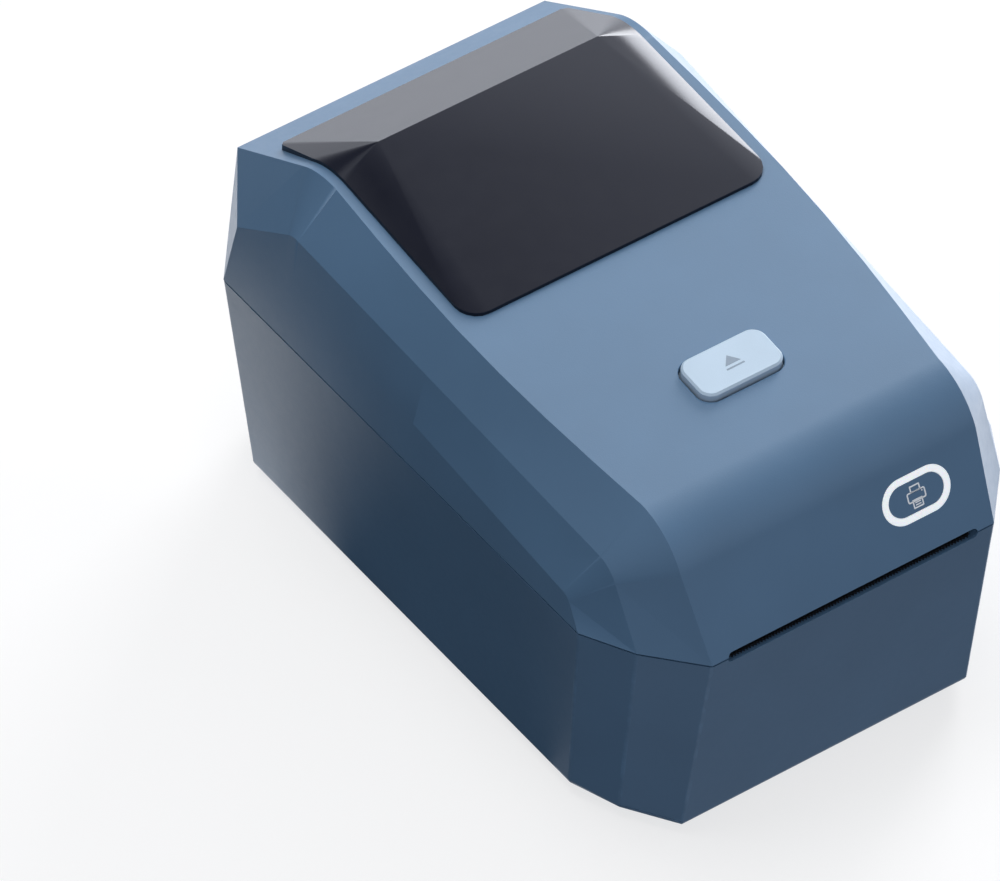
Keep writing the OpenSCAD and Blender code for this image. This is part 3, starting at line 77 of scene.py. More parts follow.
# How the edges of a copied node are rounded
EDGE_MARK = "worn_and_highlit_edge"  # face attribute that is 1 on the rounded edges, which are worn and carry a painted highlight
FLAT_BEND = math.radians(0.6)  # faces that bend less are one flat face
SMOOTH_BEND = math.radians(32.0)  # bends below this are shaded smooth
CRISP_BEND = 9.0  # degrees, over which an unrounded bend stays crisp
CREASE_BENDS = (11.0, 75.0)  # degrees that the creases of the mouldings turn through
RIM_BENDS = (80.0, 100.0)  # degrees at the rims of the lid's openings
CREASE_SHORTEST = 2.0 * MM  # shorter edges of a crease are left as they are
RIM_SHORTEST = 0.2 * MM
ROUND_STEPS = 3  # faces across a rounding
SAME_POINT = MM / 1000  # corners closer than this are one

# Sockets of a Mix node that hold colours
MIX_FIRST, MIX_SECOND, MIX_RESULT = 6, 7, 2

# Grinding lines on metal, along X or round a shaft that lies along X
GRIND_ALONG = (1.0, 14.0, 14.0)
GRIND_ROUND = (14.0, 1.0, 1.0)

# Camera: the point it is laid out from, its turn and lift, and its place off that point
CAMERA_AIM = Vector((0.0, -30.5, 63.5)) * MM
CAMERA_TURN = -0.6161005
CAMERA_LIFT = 0.7750103
CAMERA_LEFT = 50.7822 * MM
CAMERA_UP = 5.0201 * MM
CAMERA_BACK = 3345.017 * MM
SENSOR_WIDTH = 36.0  # millimetres
FAR_END = 20.0  # nothing lies farther from the camera

# Studio
FLOOR_SIZE = 6.0
FLOOR_WHITE = 0.72  # share of plain white in what the camera sees of the floor
WALL_RISE = 6.0  # how fast the walls' glow comes in above the floor
LAMP_AIM = (0.0, 0.0, 0.1)
WHITE = (1.0, 1.0, 1.0, 1.0)
SKY = (0.90, 0.93, 1.0, 1.0)
PAPER = (0.86, 0.86, 0.87)
WALLS = (
    ((1.0, 0.0, 0.0), "glow_right"),
    ((-1.0, 0.0, 0.0), "glow_left"),
    ((0.0, -1.0, 0.0), "glow_front"),
)
GLOWS = (  # where each soft glow lies, how tight it is, and its setting
    ((0.41, 0.45, 0.80), 6.0, "glow_above"),
    ((0.82, 0.42, -0.38), 8.0, "glow_corner"),
    ((0.41, 0.90, -0.14), 8.0, "glow_rear"),
    ((0.14, 0.76, -0.64), 24.0, "glow_edge"),
    ((-0.25, -0.80, -0.55), 4.0, "glow_low"),
)


# ---- Settings -------------------------------------------------------------


def colour(name, what, value):
    """Setting that holds a colour"""
    return FloatVectorProperty(name=name, description=what, subtype="COLOR", size=3,
                               min=0.0, max=1.0, default=value)


def length(name, what, millimetres):
    """Setting that holds a length, given in millimetres"""
    return FloatProperty(name=name, description=what, subtype="DISTANCE", unit="LENGTH",
                         min=0.0, default=millimetres * MM)


def watts(name, what, power):
    """Setting that holds a lamp's power"""
    return FloatProperty(name=name, description=what, min=0.0, default=power)


def bright(name, what, value):
    """Setting that holds a brightness"""
    return FloatProperty(name=name, description=what, min=0.0, max=8.0, default=value)


class PrinterColours(bpy.types.PropertyGroup):
    """Colours of the printer's plastics and metals"""

    case: colour("Case", "Blue-grey of the case and the lid", (0.078, 0.157, 0.264))
    panel: colour("Panel", "Black of the gloss panel", (0.0045, 0.0055, 0.0125))
    button: colour("Open button", "Pale blue of the open button", (0.41, 0.52, 0.63))
    inside: colour("Inside", "Near black of the inner mouldings", (0.018, 0.021, 0.027))
    ring: colour("Ring", "Milky white of the light ring", (0.88, 0.90, 0.92))


class PrinterEdges(bpy.types.PropertyGroup):
    """Roundings of the moulded edges"""

    crease: length("Crease", "Rounding along the creases of the case and the lid", 0.9)
    rim: length("Rim", "Rounding of the lid's edges around the panel and the button", 0.4)
    panel: length("Panel crease", "Rounding along the creases of the gloss panel", 0.7)


class PrinterMarks(bpy.types.PropertyGroup):
    """Sizes of the printed and moulded marks"""

    icon: length("Icon size", "Width of the printer icon on the feed button", 6.2)
    eject: length("Eject mark size", "Width of the mark on the open button", 6.0)
    line: length("Line width", "Width of the icon's printed lines", 0.42)
    proud: length("Ink height", "Thickness of the printed marks", 0.05)
    comb: length("Comb width", "Width of the toothed strip in the label slot", 82.0)
    pitch: length("Tooth pitch", "Distance from one tooth to the next", 1.0)


class PrinterStage(bpy.types.PropertyGroup):
    """Studio around the printer"""

    lens: FloatProperty(name="Lens", description="Focal length of the camera in millimetres",
                        default=432.29, min=1.0)
    top: watts("Top", "Power of the soft lamp straight above", 7.5)
    right: watts("Right", "Power of the soft box behind on the right", 12.0)
    glow_right: bright("Right glow", "Brightness of the surroundings on the right", 0.45)
    glow_left: bright("Left glow", "Brightness of the surroundings on the left", 0.48)
    glow_front: bright("Front glow", "Brightness of the surroundings in front", 0.60)
    glow_low: bright("Low glow", "Brightness low in front, as from a pale table", 0.66)
    glow_above: bright("Upper glow", "Brightness of the surroundings above the rear", 0.6)
    glow_corner: bright("Corner glow", "Brightness low on the right", 3.8)
    glow_rear: bright("Rear glow", "Brightness low behind", 0.85)
    glow_edge: bright("Edge glow", "Brightness behind that the left rear edge catches", 2.4)
    card: bright("Card", "Brightness of the white card beside the left side's rear", 1.7)
    canopy: bright("Canopy", "Brightness of the white canopy that the gloss panel shows", 3.1)
    ridge: bright("Ridge card", "Brightness of the card that the panel's left rear shows", 2.0)
    backdrop: bright("Backdrop", "Brightness of the backdrop in reflections", 0.05)


# ---- Materials ------------------------------------------------------------


class Finish:
    """A material that is built node by node"""

    def __init__(self, name, base, rough, metal=0.0, coat=0.0, coat_rough=0.05, ior=1.5):
        self.material = bpy.data.materials.new(name)
        self.material.use_nodes = True
        self.tree = self.material.node_tree
        self.shader = self.tree.nodes["Principled BSDF"]
        self.set("Base Color", (*base, 1.0))
        self.set("Roughness", rough)
        self.set("Metallic", metal)
        self.set("Coat Weight", coat)
        self.set("Coat Roughness", coat_rough)
        self.set("IOR", ior)
        self.coords = self.tree.nodes.new("ShaderNodeTexCoord").outputs["Object"]
        self.base, self.rough, self.height = base, rough, None

    def set(self, socket, value):
        """Sets a value of the shader"""
        self.shader.inputs[socket].default_value = value

    def node(self, kind, **values):
        """Adds a node and sets its properties and its sockets by name"""
        made = self.tree.nodes.new(kind)
        for key, value in values.items():
            if hasattr(made, key):
                setattr(made, key, value)
            else:
                made.inputs[key.replace("_", " ")].default_value = value
        return made

    def link(self, source, target):
        """Joins one node's output to another's input"""
        self.tree.links.new(source, target)

    def noise(self, per_metre, detail, stretch=None):
        """Noise on the piece's own coordinates"""
        made = self.node("ShaderNodeTexNoise", Scale=per_metre, Detail=detail)
        if stretch:
            turn = self.node("ShaderNodeMapping")
            turn.inputs["Scale"].default_value = stretch
            self.link(self.coords, turn.inputs["Vector"])
            self.link(turn.outputs["Vector"], made.inputs["Vector"])
        else:
            self.link(self.coords, made.inputs["Vector"])
        return made.outputs["Fac"]

    def ramp(self, source, low, high, start=0.0, end=1.0):
        """Takes a value from low to high while the source goes from start to end"""
        made = self.node("ShaderNodeMapRange")
        made.inputs["From Min"].default_value = start
        made.inputs["From Max"].default_value = end
        made.inputs["To Min"].default_value = low
        made.inputs["To Max"].default_value = high
        self.link(source, made.inputs["Value"])
        return made.outputs["Result"]

    def tint(self, source, dark, light):
        """Base colour that goes from a darker to a lighter share of itself"""
        mix = self.node("ShaderNodeMix", data_type="RGBA")
        self.link(source, mix.inputs[0])
        mix.inputs[MIX_FIRST].default_value = (*[c * dark for c in self.base], 1.0)
        lighter = [min(1.0, c * light) for c in self.base]
        mix.inputs[MIX_SECOND].default_value = (*lighter, 1.0)
        self.link(mix.outputs[MIX_RESULT], self.shader.inputs["Base Color"])

    def vary_rough(self, source, spread):
        """Roughness that goes up and down by a spread"""
        self.link(self.ramp(source, self.rough - spread, self.rough + spread),
                  self.shader.inputs["Roughness"])

    def over(self, mask, socket, change):
        """Changes a colour by a factor, or a number by a step, where the mask is 1"""
        target = self.shader.inputs[socket]
        before = target.links[0].from_socket
        if socket == "Base Color":
            mix = self.node("ShaderNodeMix", data_type="RGBA")
            changed = [min(1.0, c * change) for c in self.base]
            mix.inputs[MIX_SECOND].default_value = (*changed, 1.0)
            self.link(mask, mix.inputs[0])
            self.link(before, mix.inputs[MIX_FIRST])
            self.link(mix.outputs[MIX_RESULT], target)
        else:
            step = self.node("ShaderNodeMath", operation="MULTIPLY_ADD")
            step.inputs[1].default_value = change
            self.link(mask, step.inputs[0])
            self.link(before, step.inputs[2])
            self.link(step.outputs["Value"], target)

    def bump(self, source, depth, strength):
        """Adds a relief on top of the ones before it"""
        made = self.node("ShaderNodeBump", Strength=strength, Distance=depth)
        self.link(source, made.inputs["Height"])
        if self.height is not None:
            self.link(self.height, made.inputs["Normal"])
        self.height = made.outputs["Normal"]
        self.link(self.height, self.shader.inputs["Normal"])
        return self


def grained(name, base, rough, grain=2600.0, depth=0.000035):
    """Moulded plastic with a fine spark-eroded grain"""
    made = Finish(name, base, rough)
    fine = made.noise(grain, 2.0)
    broad = made.noise(38.0, 4.0)
    made.tint(made.ramp(broad, 0.0, 1.0, 0.3, 0.7), 0.965, 1.035)
    made.vary_rough(made.noise(420.0, 3.0), 0.05)
    return made.bump(fine, depth, 0.55)


def handled_and_highlit(name, base, rough):
    """Grained plastic whose rounded edges are worn a little smoother and lighter in patches, the
    lighter tone partly wear and partly a painted highlight along the creases
    """
    made = grained(name, base, rough)
    edge = made.node("ShaderNodeAttribute", attribute_name=EDGE_MARK)
    patches = made.ramp(made.noise(210.0, 5.0), 0.0, 1.0, 0.42, 0.66)
    worn_and_highlit = made.node("ShaderNodeMath", operation="MULTIPLY")
    made.link(edge.outputs["Fac"], worn_and_highlit.inputs[0])
    made.link(patches, worn_and_highlit.inputs[1])
    # Painted highlight along the rounded creases, mixed with real wear in patches: the base
    # colour is made lighter there
    made.over(worn_and_highlit.outputs["Value"], "Base Color", 1.2)
    made.over(worn_and_highlit.outputs["Value"], "Roughness", -0.10)
    return made


def gloss(name, base, rough, coat=0.6, ior=1.5):
    """Polished moulding with slight waviness"""
    made = Finish(name, base, rough, coat=coat, ior=ior)
    made.tint(made.noise(60.0, 2.0), 0.9, 1.1)
    made.vary_rough(made.noise(180.0, 3.0), 0.03)
    return made.bump(made.noise(45.0, 1.0), 0.00004, 0.25)


def brushed(name, base, rough, grind=GRIND_ALONG):
    """Metal with grinding lines"""
    made = Finish(name, base, rough, metal=1.0)
    lines = made.noise(2200.0, 4.0, grind)
    made.tint(lines, 0.86, 1.10)
    made.vary_rough(made.noise(900.0, 3.0, grind), 0.09)
    return made.bump(lines, 0.00001, 0.5)


def plated(name, base, rough):
    """Zinc plating with faint blotches"""
    made = Finish(name, base, rough, metal=1.0)
    made.tint(made.noise(260.0, 5.0), 0.82, 1.12)
    made.vary_rough(made.noise(700.0, 4.0), 0.08)
    return made.bump(made.noise(5200.0, 2.0), 0.000008, 0.4)


def matt_rubber(name, base):
    """Dull rubber with a fine pitted skin"""
    made = Finish(name, base, 0.78)
    made.tint(made.noise(500.0, 4.0), 0.85, 1.2)
    made.vary_rough(made.noise(1500.0, 2.0), 0.08)
    return made.bump(made.noise(6500.0, 2.0), 0.00003, 0.7)


def solder_mask(name):
    """Green board with a faint pattern of copper tracks under the mask"""
    made = Finish(name, (0.010, 0.13, 0.07), 0.34, coat=0.4, coat_rough=0.2)
    brick = made.node("ShaderNodeTexBrick", Scale=160.0)
    made.link(made.coords, brick.inputs["Vector"])
    tracks = made.ramp(brick.outputs["Fac"], 0.0, 1.0)
    made.tint(tracks, 0.75, 1.5)
    made.vary_rough(made.noise(900.0, 3.0), 0.05)
    return made.bump(tracks, 0.00003, 0.6)


def dress(finish, *nodes):
    """Gives CAD nodes a finish"""
    for name in nodes:
        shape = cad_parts[name]
        if not shape.material_slots:
            shape.data.materials.append(finish.material)
        for slot in shape.material_slots:
            slot.material = finish.material


# ---- Modelling helpers ----------------------------------------------------


def clear_selection():
    """Deselects everything"""
    bpy.ops.object.select_all(action="DESELECT")


def settle(piece, name, finish, body):
    """Applies a piece's place, names it and hands it to its body"""
    clear_selection()
    piece.select_set(True)
    bpy.context.view_layer.objects.active = piece
    bpy.ops.object.transform_apply(location=True, rotation=True, scale=True)
    piece.name = name
    piece.data.name = name
    piece.data.materials.clear()
    piece.data.materials.append(finish.material)
    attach(piece, body)


def join(pieces):
    """Joins the pieces of a mark into its first one"""
    clear_selection()
    for piece in pieces:
        piece.select_set(True)
    bpy.context.view_layer.objects.active = pieces[0]
    bpy.ops.object.join()
    return pieces[0]


def bar(width, depth, height, centre, edge):
    """Flat bar with bevelled edges"""
    clear_selection()
    bpy.ops.mesh.primitive_cube_add(size=1.0, location=centre)
    piece = bpy.context.object
    piece.scale = (width, depth, height)
    bpy.ops.object.transform_apply(location=False, rotation=False, scale=True)
    bpy.ops.object.mode_set(mode="EDIT")
    bpy.ops.mesh.select_all(action="SELECT")
    bpy.ops.mesh.bevel(offset=edge, segments=2, affect="EDGES")
    bpy.ops.object.mode_set(mode="OBJECT")
    return piece


def outline(width, depth, line, height, corner, at=(0.0, 0.0)):
    """Flat rounded frame, such as a printed outline"""
    clear_selection()
    bpy.ops.mesh.primitive_plane_add(size=1.0, location=(*at, 0.0))
    piece = bpy.context.object
    piece.scale = (width, depth, 1.0)
    bpy.ops.object.transform_apply(location=True, rotation=False, scale=True)
    bpy.ops.object.mode_set(mode="EDIT")
    bpy.ops.mesh.select_all(action="SELECT")
    bpy.ops.mesh.bevel(offset=corner, segments=4, affect="VERTICES")
    bpy.ops.mesh.select_all(action="SELECT")
    bpy.ops.mesh.inset(thickness=line)
    bpy.ops.mesh.delete(type="FACE")
    bpy.ops.mesh.select_all(action="SELECT")
    bpy.ops.mesh.extrude_region_move(TRANSFORM_OT_translate={"value": (0.0, 0.0, height)})
    bpy.ops.mesh.select_all(action="SELECT")
    bpy.ops.mesh.normals_make_consistent(inside=False)
    bpy.ops.object.mode_set(mode="OBJECT")
    return piece


def merged_copy(node):
    """Copy of a CAD node with its loose triangles merged, left open for editing"""
    clear_selection()
    piece = bpy.data.objects.new(node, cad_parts[node].data.copy())
    bpy.context.collection.objects.link(piece)
    piece.select_set(True)
    bpy.context.view_layer.objects.active = piece
    if piece.data.has_custom_normals:
        bpy.ops.mesh.customdata_custom_splitnormals_clear()
    bpy.ops.object.mode_set(mode="EDIT")
    bpy.ops.mesh.select_mode(type="EDGE")
    bpy.ops.mesh.select_all(action="SELECT")
    bpy.ops.mesh.remove_doubles(threshold=SAME_POINT)
    bpy.ops.mesh.dissolve_limited(angle_limit=FLAT_BEND)
    bmesh.from_edit_mesh(piece.data).faces.layers.float.new(EDGE_MARK)
    return piece


def round_edges(piece, width, low, high, shortest, where):
    """Rounds the edges that bend outwards between two angles and marks the narrow new faces

    A crease's rounding narrows where the faces beside it leave no room, and a rim's doesn't.
    """
    bpy.ops.mesh.select_all(action="DESELECT")
    shape = bmesh.from_edit_mesh(piece.data)
    for edge in shape.edges:
        bend = math.degrees(edge.calc_face_angle_signed(0.0))
        middle = (edge.verts[0].co + edge.verts[1].co) / 2
        if low < bend < high and edge.calc_length() > shortest and where(middle):
            edge.select = True
    bmesh.update_edit_mesh(piece.data)
    bpy.ops.mesh.bevel(offset=width, segments=ROUND_STEPS, affect="EDGES",
                       clamp_overlap=high < RIM_BENDS[0])
    shape = bmesh.from_edit_mesh(piece.data)
    mark = shape.faces.layers.float[EDGE_MARK]
    for face in shape.faces:
        if face.select and min(edge.calc_length() for edge in face.edges) < width:
            face[mark] = 1.0
    bmesh.update_edit_mesh(piece.data)


def keep_crisp(piece):
    """Marks the bends that weren't rounded, so that they don't shade smooth"""
    bpy.ops.object.mode_set(mode="EDIT")
    bpy.ops.mesh.select_all(action="DESELECT")
    shape = bmesh.from_edit_mesh(piece.data)
    mark = shape.faces.layers.float[EDGE_MARK]
    for edge in shape.edges:
        bend = math.degrees(abs(edge.calc_face_angle_signed(0.0)))
        edge.select = bend > CRISP_BEND and not any(face[mark] for face in edge.link_faces)
    bmesh.update_edit_mesh(piece.data)
    bpy.ops.mesh.mark_sharp()
    bpy.ops.object.mode_set(mode="OBJECT")


def softened(node, finish, rounds, body):
    """Copy of a CAD node whose outer edges are rounded, standing in for the node.

    Each rounding is its width, its least and most angle in degrees, its shortest edge and
    a test on the edge's middle.
    """
    piece = merged_copy(node)
    for rounding in rounds:
        round_edges(piece, *rounding)
    bpy.ops.object.mode_set(mode="OBJECT")
    bpy.ops.object.shade_smooth_by_angle(angle=SMOOTH_BEND)
    keep_crisp(piece)
    level = piece.modifiers.new("level", "WEIGHTED_NORMAL")
    level.keep_sharp = True
    bpy.ops.object.modifier_apply(modifier=level.name)
    settle(piece, node + "_skin", finish, body)
    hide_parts(node)
    return piece


def anywhere(point):
    """Lets every edge be rounded"""
    return True


def on_the_slope(point):
    """Whether a point lies on the lid's long slope"""
    return abs(point.z - slope_height(point.y - FRONT_Y)) < SLOPE_NEAR


def place(piece, seat):
    """Moves a piece that was modelled at the origin to its seat"""
    piece.matrix_world = seat @ piece.matrix_world


def slope_height(depth):
    """Height of the lid's long slope over the base, at a depth from the front"""
    return SEAM_Z + SLOPE_RISE + (depth - SLOPE_DEPTH) * math.tan(SLOPE_ANGLE)


def on_slope(depth, out):
    """Seat on the lid's long slope, at a depth from the front and a height over the slope"""
    at = Matrix.Translation((0.0, FRONT_Y + depth, slope_height(depth)))
    return at @ Matrix.Rotation(SLOPE_ANGLE, 4, "X") @ Matrix.Translation((0.0, 0.0, out))


def on_front(side, up):
    """Seat on the lid's front face, at a distance to the right and up from the seam"""
    at = Matrix.Translation((side, FRONT_Y + up * math.cos(FRONT_ANGLE),
                             SEAM_Z + up * math.sin(FRONT_ANGLE)))
    return at @ Matrix.Rotation(FRONT_ANGLE, 4, "X")


# ---- Operators ------------------------------------------------------------


class PRINTER_OT_shell_finish(bpy.types.Operator):
    """Rounds the creases of the lower case and the lid and gives them grained plastic"""

    bl_idname = "printer.shell_finish"
    bl_label = "Case and lid"

    def execute(self, context):
        edges = context.scene.printer_edges
        # Case plastic whose rounded edges carry a painted highlight as well as wear
        plastic = handled_and_highlit("case_plastic", tuple(context.scene.printer_colours.case), 0.42)
        creases = (edges.crease, *CREASE_BENDS, CREASE_SHORTEST, anywhere)
        rims = (edges.rim, *RIM_BENDS, RIM_SHORTEST, on_the_slope)
        softened("lower_case", plastic, [creases], "base")
        softened("top_cover", plastic, [creases, rims], "lid")
        return {"FINISHED"}


class PRINTER_OT_panel_finish(bpy.types.Operator):
    """Rounds the panel's creases and polishes it black"""

    bl_idname = "printer.panel_finish"
    bl_label = "Gloss panel"

    def execute(self, context):
        black = gloss("panel_gloss", tuple(context.scene.printer_colours.panel), 0.22,
                      coat=0.0, ior=1.36)
        black.set("Specular Tint", (0.82, 0.87, 1.0, 1.0))
        width = context.scene.printer_edges.panel
        creases = (width, *CREASE_BENDS, CREASE_SHORTEST, anywhere)
        softened("gloss_panel", black, [creases], "lid")
        return {"FINISHED"}


class PRINTER_OT_button_finish(bpy.types.Operator):
    """Gives the buttons and the light ring their plastics"""

    bl_idname = "printer.button_finish"
    bl_label = "Buttons and ring"

    def execute(self, context):
        colours = context.scene.printer_colours
        dress(grained("open_button_plastic", tuple(colours.button), 0.38), "open_button")
        dress(grained("feed_button_plastic", tuple(colours.case), 0.40), "feed_button")
        milky = Finish("ring_plastic", tuple(colours.ring), 0.32, coat=0.2)
        milky.set("Emission Color", WHITE)
        milky.set("Emission Strength", 0.35)
        milky.set("Subsurface Weight", 0.25)
        milky.set("Subsurface Scale", 0.002)
        milky.tint(milky.noise(150.0, 2.0), 0.97, 1.02)
        milky.vary_rough(milky.noise(500.0, 2.0), 0.04)
        dress(milky, "light_ring")
        return {"FINISHED"}


class PRINTER_OT_inner_finish(bpy.types.Operator):
    """Gives the tray, the liner, the guides and the gears their plastics"""

    bl_idname = "printer.inner_finish"
    bl_label = "Tray, guides and gears"

    def execute(self, context):
        colours = context.scene.printer_colours
        dress(grained("tray_plastic", tuple(colours.inside), 0.5, grain=1800.0, depth=0.00005),
              "roll_tray", "lid_liner")
        dress(grained("guide_plastic", (0.050, 0.066, 0.088), 0.45, grain=2000.0),
              "guide_left", "guide_right", "hub_left", "hub_right")
        acetal = Finish("acetal", (0.78, 0.76, 0.70), 0.36)
        acetal.set("Subsurface Weight", 0.12)
        acetal.set("Subsurface Scale", 0.001)
        acetal.tint(acetal.noise(90.0, 3.0), 0.95, 1.03)
        acetal.vary_rough(acetal.noise(800.0, 3.0), 0.06)
        acetal.bump(acetal.noise(3200.0, 2.0), 0.00001, 0.4)
        dress(acetal, "platen_gear", "idler_gear", "guide_pinion", "platen_bushings", "latch_bar")
        dress(matt_rubber("rubber_black", (0.016, 0.016, 0.018)), "rubber_feet", "platen_rubber")
        dress(gloss("moulded_black", (0.012, 0.012, 0.014), 0.3),
              "dc_jack", "switch_body", "power_rocker", "label_sensor")
        return {"FINISHED"}


class PRINTER_OT_metal_finish(bpy.types.Operator):
    """Gives shafts, frame, screws, springs and boards their finishes"""

    bl_idname = "printer.metal_finish"
    bl_label = "Metal and boards"

    def execute(self, context):
        dress(brushed("ground_steel", (0.60, 0.61, 0.62), 0.26, GRIND_ROUND),
              "platen_shaft", "idler_stud", "motor_shaft", "hinge_pins", "head_pivot_pin")
        dress(brushed("blade_steel", (0.55, 0.56, 0.58), 0.30), "tear_bar")
        dress(plated("sheet_steel", (0.50, 0.51, 0.52), 0.40), "drive_frame")
        dress(plated("screw_steel", (0.40, 0.41, 0.43), 0.34),
              "case_screws", "frame_screws", "motor_screws", "board_screws", "liner_screws")
        dress(plated("motor_can", (0.45, 0.46, 0.48), 0.36), "stepper_motor")
        dress(plated("tin_plate", (0.58, 0.59, 0.61), 0.30), "usb_port")
        wire = plated("music_wire", (0.40, 0.41, 0.42), 0.32)
        dress(wire, "latch_spring")
        springs = softened("head_springs", wire, [], "lid")
        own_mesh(springs)
        dress(brushed("pinion_brass", (0.60, 0.42, 0.16), 0.30), "motor_pinion")
        dress(brushed("extruded_aluminium", (0.62, 0.64, 0.66), 0.34), "heat_sink")
        dress(solder_mask("board_mask"), "circuit_board", "button_board")
        glaze = Finish("head_ceramic", (0.72, 0.69, 0.62), 0.22, coat=0.5)
        glaze.tint(glaze.noise(400.0, 4.0), 0.9, 1.05)
        glaze.vary_rough(glaze.noise(900.0, 3.0), 0.06)
        dress(glaze, "print_head")
        return {"FINISHED"}


class PRINTER_OT_tear_comb(bpy.types.Operator):
    """Models the black toothed strip on the lower lip of the label slot, whose black is partly
    the strip's own and partly painted shade of the slot
    """

    bl_idname = "printer.tear_comb"
    bl_label = "Tear comb"

    def execute(self, context):
        marks = context.scene.printer_marks
        pitch, count = marks.pitch, int(marks.comb / marks.pitch)
        thick, deep, edge = 0.7 * MM, 1.4 * MM, 0.1 * MM
        strip_y, teeth_y = FRONT_Y + 2.7 * MM, FRONT_Y + 1.9 * MM
        middle_z = SEAM_Z - COMB_DROP + thick / 2
        strip = bar(marks.comb, deep, thick, (0.0, strip_y, middle_z), edge)
        clear_selection()
        bpy.ops.mesh.primitive_cylinder_add(
            vertices=3, radius=pitch * 0.55, depth=thick,
            location=(-(count - 1) * pitch / 2, teeth_y, middle_z),
            rotation=(0.0, 0.0, math.pi))
        tooth = bpy.context.object
        bpy.ops.object.transform_apply(location=False, rotation=True, scale=True)
        row = tooth.modifiers.new("row", "ARRAY")
        row.count = count
        row.use_relative_offset = False
        row.use_constant_offset = True
        row.constant_offset_displace = (pitch, 0.0, 0.0)
        bpy.ops.object.modifier_apply(modifier=row.name)
        comb = join([strip, tooth])
        # Black of the strip and its teeth: partly their own colour, partly painted shade over the
        # slot's lower lip
        black = gloss("comb_black_slot_shade", (0.010, 0.010, 0.012), 0.35)
        settle(comb, "tear_comb", black, "base")
        return {"FINISHED"}


class PRINTER_OT_feed_icon(bpy.types.Operator):
    """Prints a plain printer icon on the feed button"""

    bl_idname = "printer.feed_icon"
    bl_label = "Feed icon"

    def execute(self, context):
        marks = context.scene.printer_marks
        wide, line, proud = marks.icon, marks.line, marks.proud
        edge, middle = proud * 0.3, proud / 2
        sheet, corner, sheet_off = wide * 0.56, wide * 0.03, wide * 0.36
        ink = Finish("icon_ink", (0.86, 0.89, 0.92), 0.45)
        ink.tint(ink.noise(900.0, 2.0), 0.95, 1.02)
        housing = outline(wide, wide * 0.52, line, proud, wide * 0.10)
        sheet_in = outline(sheet, wide * 0.34, line, proud, corner, (0.0, sheet_off))
        sheet_out = outline(sheet, wide * 0.44, line, proud, corner, (0.0, -sheet_off))
        print_lines = [bar(wide * 0.30, line * 0.8, proud, (0.0, wide * down, middle), edge)
                       for down in (-0.31, -0.43)]
        lamp = bar(line, line, proud, (wide * 0.33, wide * 0.12, middle), edge)
        icon = join([housing, sheet_in, sheet_out, *print_lines, lamp])
        place(icon, on_front(FEED_SIDE, FEED_UP))
        settle(icon, "feed_icon", ink, "feed_key")
        return {"FINISHED"}


class PRINTER_OT_open_mark(bpy.types.Operator):
    """Prints a generic eject mark on the open button"""

    bl_idname = "printer.open_mark"
    bl_label = "Open mark"

    def execute(self, context):
        marks = context.scene.printer_marks
        wide, line, proud = marks.eject, marks.line, marks.proud
        middle = proud / 2
        ink = Finish("mark_ink", (0.20, 0.26, 0.33), 0.5)
        ink.tint(ink.noise(900.0, 2.0), 0.95, 1.05)
        under = bar(wide, line * 1.3, proud, (0.0, -wide * 0.30, middle), proud * 0.3)
        clear_selection()
        bpy.ops.mesh.primitive_cylinder_add(vertices=3, radius=wide * 0.5, depth=proud,
                                            location=(0.0, wide * 0.08, middle))
        arrow = bpy.context.object
        arrow.scale = (1.0, 0.72, 1.0)
        bpy.ops.object.transform_apply(location=False, rotation=False, scale=True)
        mark = join([under, arrow])
        place(mark, on_slope(OPEN_DEPTH, OPEN_PROUD))
        settle(mark, "open_mark", ink, "open_key")
        return {"FINISHED"}


